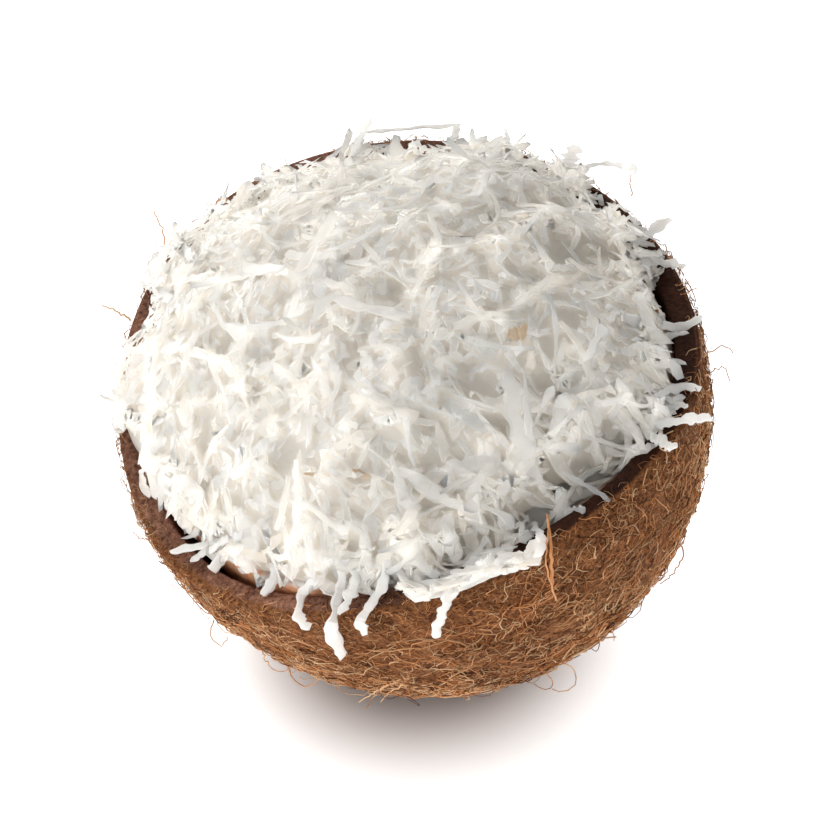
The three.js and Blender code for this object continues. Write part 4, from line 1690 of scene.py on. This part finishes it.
# %% Strips on the heap
HEAP_STRIP_CUT = {"thickness": (0.28, 0.45), "ragged": 0.24, "seed": 60}
HEAP_STRIPS = {
    "upright at the left": (
        1.6, ("heap", 295, 460, 0.7), ("heap", 298, 502, 0.8), ("heap", 293, 545, 0.8),
    ),
    "wide strip": (
        3.2, ("heap", 507, 372, 1.0), ("heap", 515, 415, 1.4), ("heap", 525, 455, 1.2),
        ("heap", 533, 486, 0.8),
    ),
    "thin beside the wide": (
        1.1, ("heap", 524, 372, 1.4), ("heap", 528, 425, 1.8), ("heap", 535, 465, 1.4),
        ("heap", 545, 494, 0.8),
    ),
    "fork of the wide": (1.4, ("heap", 520, 462, 1.2), ("heap", 523, 486, 1.0), ("heap", 516, 499, 0.8)),
    "flake": (3.0, ("heap", 446, 463, 0.7), ("heap", 470, 465, 1.2), ("heap", 500, 456, 1.0)),
    "flake hanging": (2.8, ("heap", 474, 478, 1.0), ("heap", 473, 505, 0.9), ("heap", 478, 532, 0.6)),
    "strip in the hollow": (
        0.9, ("heap", 560, 471, 0.6), ("edge", 590, 488, 1.0), ("edge", 610, 501, 1.2),
    ),
    "flat in the hollow": (
        1.5, ("heap", 548, 514, 0.5), ("heap", 566, 512, 0.5), ("heap", 585, 510, 0.5),
    ),
    "thread in the hollow": (
        0.9, ("heap", 556, 432, 0.8), ("heap", 596, 440, 0.8), ("heap", 636, 452, 0.6),
    ),
    "second thread": (0.9, ("heap", 566, 498, 0.6), ("heap", 586, 474, 0.7), ("heap", 620, 462, 0.6)),
}
heap_layers.append(seen_mesh(HEAP_STRIPS, **HEAP_STRIP_CUT))
shred_white = make_white_material("shreds", HEAP_WHITE, HEAP_SCATTER)
heap_shreds = make_strips("heap_shreds", joined(heap_layers), shred_white)

# %% Strips over the edge
RIM_STRIP_CUT = {"thickness": (0.25, 0.42), "ragged": 0.28, "seed": 61}
RIM_STRIPS = {
    "hook over the edge": (
        1.7, ("heap", 318, 578, 0.6), ("edge", 305, 590, 2.6), ("outside", 299, 610, 1.4),
        ("outside", 303, 624, 1.4), ("outside", 311, 626, 1.6),
    ),
    "longest over the edge": (
        2.0, ("heap", 345, 560, 0.8), ("edge", 342, 585, 3.0), ("outside", 336, 606, 1.6),
        ("outside", 331, 625, 1.6), ("outside", 336, 643, 1.6), ("outside", 343, 658, 1.6),
    ),
    "forked over the edge": (
        1.8, ("heap", 388, 560, 0.8), ("edge", 382, 588, 3.0), ("outside", 368, 608, 1.8),
        ("outside", 360, 622, 1.8), ("outside", 366, 635, 1.8),
    ),
    "crossing the fork": (
        1.7, ("heap", 362, 566, 0.8), ("edge", 352, 590, 3.4), ("outside", 344, 606, 2.6),
        ("outside", 338, 614, 2.6),
    ),
    "under the strand": (
        1.8, ("edge", 458, 582, 2.2), ("edge", 448, 597, 2.2), ("outside", 441, 618, 1.6),
        ("outside", 434, 638, 1.6),
    ),
    "strand, outside": (
        1.3, ("edge", 402, 584, 1.6), ("edge", 418, 597, 1.5), ("edge", 450, 591, 1.4),
        ("edge", 486, 576, 1.4), ("edge", 520, 567, 1.6),
    ),
    "strand, middle": (
        1.2, ("edge", 404, 577, 2.2), ("edge", 424, 590, 2.1), ("edge", 454, 584, 2.0),
        ("edge", 490, 570, 2.0), ("edge", 526, 560, 2.2), ("edge", 541, 543, 3.2),
    ),
    "strand, inside": (
        1.0, ("edge", 396, 566, 3.4), ("edge", 412, 583, 2.9), ("edge", 446, 578, 2.7),
        ("edge", 484, 565, 2.7), ("edge", 516, 556, 3.0),
    ),
    "end of the strand": (1.5, ("heap", 533, 522, 0.8), ("edge", 543, 541, 3.4), ("edge", 538, 557, 2.4)),
    "crumb on the strand": (
        1.6, ("edge", 476, 564, 3.2), ("edge", 486, 562, 3.4), ("edge", 494, 558, 3.2),
    ),
    "tip over the crevice": (
        2.0, ("edge", 170, 552, 2.2), ("edge", 194, 547, 3.4), ("edge", 218, 541, 5.0),
        ("heap", 242, 536, 0.8),
    ),
    "beside the tip": (1.5, ("edge", 190, 561, 1.6), ("edge", 207, 551, 3.4), ("heap", 228, 538, 0.8)),
    "blunt end at the left": (
        1.7, ("edge", 212, 571, 1.4), ("edge", 224, 553, 4.2), ("heap", 239, 532, 0.8),
    ),
    "blunt end at the front": (
        1.7, ("edge", 262, 595, 0.9), ("edge", 274, 577, 3.0), ("edge", 277, 556, 5.5),
        ("heap", 262, 532, 0.9),
    ),
    "right, lowest": (1.6, ("heap", 655, 425, 0.8), ("edge", 682, 420, 2.0), ("edge", 712, 418, 1.6)),
    "right, stub": (1.5, ("heap", 655, 396, 0.8), ("edge", 678, 388, 2.0), ("edge", 701, 389, 1.2)),
    "right, middle": (1.6, ("heap", 640, 356, 0.8), ("edge", 664, 360, 2.4), ("edge", 686, 363, 1.4)),
    "right, upper": (
        1.7, ("heap", 606, 306, 0.8), ("heap", 640, 322, 1.0), ("edge", 672, 326, 2.2),
        ("edge", 702, 319, 1.6),
    ),
    "right, below upper": (
        1.3, ("heap", 632, 340, 0.8), ("edge", 660, 337, 2.2), ("edge", 688, 332, 1.6),
    ),
    "across at the right": (
        2.0, ("heap", 640, 262, 0.9), ("edge", 664, 262, 2.4), ("edge", 685, 267, 1.8),
    ),
    "out at the upper right": (
        1.8, ("heap", 630, 246, 0.9), ("edge", 652, 231, 3.0), ("edge", 670, 218, 3.0),
    ),
    "thin at the top right": (
        1.3, ("heap", 578, 168, 1.0), ("edge", 604, 164, 4.0), ("edge", 634, 168, 3.2),
        ("edge", 634, 174, 2.4),
    ),
    "flake at the top right": (
        3.2, ("heap", 568, 170, 0.8), ("edge", 572, 156, 4.0), ("edge", 576, 145, 4.6),
    ),
    "thin along the top": (
        1.0, ("edge", 364, 132, 4.0), ("edge", 415, 128, 3.5), ("edge", 460, 125, 3.5),
    ),
    "holds the thin one": (
        1.5, ("heap", 448, 146, 0.8), ("edge", 455, 134, 3.0), ("edge", 458, 124, 3.6),
    ),
    "spike at the top": (1.8, ("heap", 353, 156, 0.9), ("edge", 361, 134, 4.0), ("edge", 369, 115, 5.0)),
    "small spike": (1.2, ("heap", 508, 156, 0.9), ("edge", 508, 143, 3.4), ("edge", 505, 129, 3.6)),
    "left flake": (2.8, ("heap", 196, 262, 0.8), ("edge", 178, 246, 3.2), ("edge", 166, 240, 2.6)),
    "left, upper": (1.8, ("heap", 172, 300, 0.8), ("edge", 150, 286, 3.0), ("edge", 137, 282, 2.0)),
    "left, middle": (1.9, ("heap", 160, 382, 0.8), ("edge", 130, 388, 3.0), ("edge", 109, 394, 1.4)),
    "left, lower": (1.9, ("heap", 165, 420, 0.8), ("edge", 132, 424, 3.0), ("edge", 112, 432, 1.2)),
    "chunk over the rim": (
        2.2, ("heap", 650, 436, 0.8), ("edge", 664, 441, 2.0), ("edge", 674, 449, 1.4),
    ),
    "beside the chunk": (1.6, ("heap", 648, 412, 0.8), ("edge", 668, 408, 2.0), ("edge", 688, 405, 1.4)),
}
print(len(RIM_STRIPS), "strips reach over the edge")

# %% [markdown]
# ## The strand
# Along the front edge the shreds have run together into a ragged strand. It is laid as a row of short shreds,
# scattered closely about a line, over the three long strips that were marked there.

# %% Strand
STRAND_SHREDS = {
    **SHORT_SHREDS,
    "count": 55,
    "length": (2, 6),
    "width": (0.8, 1.7),
    "drop seed": 47,
    "shape seed": 57,
}
STRAND = ((400, 575), (416, 592), (446, 587), (484, 572), (518, 562), (538, 550))
STRAND_STEPS = 60
STRAND_RISE = 2.0
STRAND_HEIGHTS = (-0.3, 1.1)
STRAND_WIDTH = 0.6
STRAND_TURN = 0.5
STRAND_TIP = 0.08
STRAND_MARGIN = 2


def lay_strand(kind):
    """Short shreds that lie one over another in a ragged strand along the front edge."""
    rng = np.random.default_rng(kind["drop seed"])
    line = smooth_path([on_edge(pixel, STRAND_RISE) for pixel in STRAND], STRAND_STEPS)
    ahead = np.gradient(line, axis=0)[:, :2]
    laid = []
    for middle in rng.integers(STRAND_MARGIN, STRAND_STEPS - STRAND_MARGIN, kind["count"]):
        length = rng.uniform(*kind["length"])
        heading = math.atan2(ahead[middle, 1], ahead[middle, 0]) + rng.normal(0, STRAND_TURN)
        along = np.linspace(-0.5, 0.5, kind["steps"])[:, None] * length
        centre = line[middle, :2] + rng.normal(0, STRAND_WIDTH, 2)
        flat = centre + along * (math.cos(heading), math.sin(heading))
        height = line[middle, 2] + rng.uniform(*STRAND_HEIGHTS) + rng.normal(0, STRAND_TIP) * along
        width = rng.uniform(*kind["width"])
        laid.append((np.column_stack([flat, height]), width, rng.uniform(*kind["thickness"])))
    return laid


rim_layers = [seen_mesh(RIM_STRIPS, **RIM_STRIP_CUT), shred_mesh(lay_strand(STRAND_SHREDS), STRAND_SHREDS)]
strip_white = make_white_material("single strips", STRIP_WHITE, STRIP_SCATTER)
rim_strips = make_strips("rim_strips", joined(rim_layers), strip_white)

# %% [markdown]
# ## Bits of brown skin
# Shredding the flesh leaves a few bits of its brown skin among the white: a lump on the cut at the upper
# left and some thin tan strips on the heap. They are made as the strips are, from their own materials.

# %% Bits of skin
SKIN_BIT_CUT = {"thickness": (0.4, 0.9), "ragged": 0.2, "seed": 62}
TAN_STRIP_CUT = {"thickness": (0.2, 0.4), "ragged": 0.2, "seed": 64}
BROWN_SKIN = {"dark": (0.36, 0.13, 0.045), "light": (0.72, 0.37, 0.17)}
TAN_SKIN = {"dark": (0.60, 0.42, 0.26), "light": (0.78, 0.64, 0.47)}
SKIN_CLOUDS = 300.0
SKIN_BITS = {
    "lump on the cut": (2.8, ("edge", 216, 207, 1.4), ("edge", 222, 204, 1.9), ("edge", 229, 203, 1.6)),
    "second lump": (2.0, ("edge", 221, 212, 1.4), ("edge", 226, 209, 1.8), ("edge", 231, 208, 1.6)),
}
TAN_STRIPS = {
    "tan spot": (2.4, ("heap", 508, 334, 0.7), ("heap", 517, 333, 0.8), ("heap", 527, 331, 0.7)),
    "thin tan strip": (0.5, ("heap", 304, 474, 0.6), ("heap", 318, 475, 0.7), ("heap", 331, 476, 0.6)),
    "short tan strip": (1.1, ("heap", 352, 470, 0.6), ("heap", 360, 473, 0.7), ("heap", 369, 477, 0.6)),
}


def make_skin_material(name, skin):
    """Skin of the flesh, between two browns."""
    material, shader = new_material(name, roughness=0.6)
    paint(material, shader, uneven(material, **skin, clouds=SKIN_CLOUDS))
    return material


brown_skin = make_skin_material("brown skin", BROWN_SKIN)
tan_skin = make_skin_material("tan skin", TAN_SKIN)
skin_bits = make_strips("skin_bits", seen_mesh(SKIN_BITS, **SKIN_BIT_CUT), brown_skin)
tan_strips = make_strips("tan_strips", seen_mesh(TAN_STRIPS, **TAN_STRIP_CUT), tan_skin)

# %% [markdown]
# ## Stray fibres
# Here and there a fibre stands off the mat: a splinter at the front, curls at the right, loops along the
# bottom. These are seen against the white, so they too are placed by pixels, each rooted on the shell. Thin
# tubes of five sides are enough for them.

# %% Strays
STRAY_STEPS = 16
STRAY_SIDES = 5
STRAY_WAVER = 0.12
STRAY_TAPER = (1.0, 0.6)
STRAY_TONES = (0.35, 0.95)
STRAY_SEED = 63
STRAY_FIBRES = {
    "twig at the left": (0.26, ("edge", 130, 320, 0.2), ("edge", 115, 311, 0.8), ("edge", 102, 305, 1.4)),
    "hair at the upper left": (
        0.2, ("edge", 166, 258, 0.2), ("edge", 163, 234, 3.0), ("edge", 155, 210, 6.0),
    ),
    "hair at the top right": (
        0.14, ("edge", 632, 196, 0.2), ("edge", 630, 185, 2.0), ("edge", 631, 173, 4.0),
    ),
    "splinter": (
        0.36, ("outside", 552, 584, 0.1), ("edge", 551, 556, 1.2), ("edge", 549, 535, 3.5),
        ("edge", 547, 514, 6.0),
    ),
    "thin beside the splinter": (
        0.2, ("outside", 556, 600, 0.2), ("outside", 549, 576, 1.2), ("edge", 545, 552, 2.4),
        ("edge", 548, 530, 4.2),
    ),
    "upper curl": (
        0.16, ("outside", 704, 357, 0.2), ("outside", 714, 349, 0), ("outside", 725, 345, 0),
        ("outside", 733, 353, 0),
    ),
    "lower curl": (
        0.15, ("outside", 705, 376, 0.2), ("outside", 716, 369, 0), ("outside", 725, 367, 0),
        ("outside", 730, 381, 0),
    ),
    "along the right": (
        0.16, ("outside", 680, 545, 0.3), ("outside", 684, 556, 0), ("outside", 673, 572, 0),
        ("outside", 660, 584, 0.3),
    ),
    "twig at the lower right": (
        0.22, ("outside", 572, 656, 0.3), ("outside", 590, 646, 0.8), ("outside", 603, 639, 0),
        ("outside", 616, 637, 0),
    ),
    "thin at the lower right": (
        0.13, ("outside", 580, 652, 0.3), ("outside", 600, 640, 0.8), ("outside", 612, 630, 0),
        ("outside", 614, 641, 0),
    ),
    "loop at the lower right": (
        0.15, ("outside", 552, 660, 0.3), ("outside", 572, 668, 0), ("outside", 577, 680, 0),
        ("outside", 566, 692, 0), ("outside", 552, 689, 0),
    ),
    "inner loop": (
        0.13, ("outside", 540, 668, 0.3), ("outside", 553, 682, 0), ("outside", 546, 690, 0),
        ("outside", 534, 684, 0),
    ),
    "tuft, longest": (
        0.2, ("outside", 396, 682, 0.3), ("outside", 376, 691, 0.6), ("outside", 359, 702, 0),
    ),
    "tuft, second": (
        0.16, ("outside", 388, 684, 0.3), ("outside", 374, 696, 0.5), ("outside", 366, 708, 0),
    ),
    "tuft, third": (
        0.16, ("outside", 404, 684, 0.3), ("outside", 390, 692, 0.6), ("outside", 381, 702, 0),
    ),
    "left loop": (
        0.14, ("outside", 262, 650, 0.3), ("outside", 268, 664, 0), ("outside", 281, 672, 0),
        ("outside", 292, 666, 0.2),
    ),
    "second left loop": (
        0.14, ("outside", 288, 666, 0.3), ("outside", 296, 681, 0), ("outside", 309, 686, 0),
        ("outside", 322, 677, 0.2),
    ),
    "hook at the left": (
        0.13, ("outside", 214, 620, 0.3), ("outside", 210, 634, 0), ("outside", 220, 646, 0),
        ("outside", 227, 637, 0),
    ),
    "hairs at the left": (
        0.12, ("outside", 150, 540, 0.3), ("outside", 140, 538, 0), ("outside", 132, 532, 0),
    ),
}


def make_strays():
    """One piece from the fibres whose places are read off the photograph."""
    rng = np.random.default_rng(STRAY_SEED)
    tubes = []
    for radius, *marks in STRAY_FIBRES.values():
        path = seen_path(marks, STRAY_STEPS)
        path[1:-1] += rng.normal(0, STRAY_WAVER, (STRAY_STEPS - 2, 3))
        points, triangles = sweep(path, radius * np.linspace(*STRAY_TAPER, STRAY_STEPS), STRAY_SIDES)
        tubes.append((points, triangles, np.full(len(points), rng.uniform(*STRAY_TONES))))
    points, triangles, tones = joined(tubes)
    return mesh_object("stray_fibres", points, triangles, coir, {"tone": tones})


stray_fibres = make_strays()

# %% [markdown]
# ## Fixing every piece to the body
# Nothing moves on a half coconut, so all pieces ride on the one body. Each solid is hidden, and the new
# pieces that stand for it show in its place.

# %% Finish
PIECES = {
    "shell": (shell_body, *coir_layers, stray_fibres),
    "flesh": (flesh_lining,),
    "shreds": (heap_shreds, rim_strips, skin_bits, tan_strips),
}
for node, pieces in PIECES.items():
    for piece in pieces:
        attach(piece, "root")
        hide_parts(node)
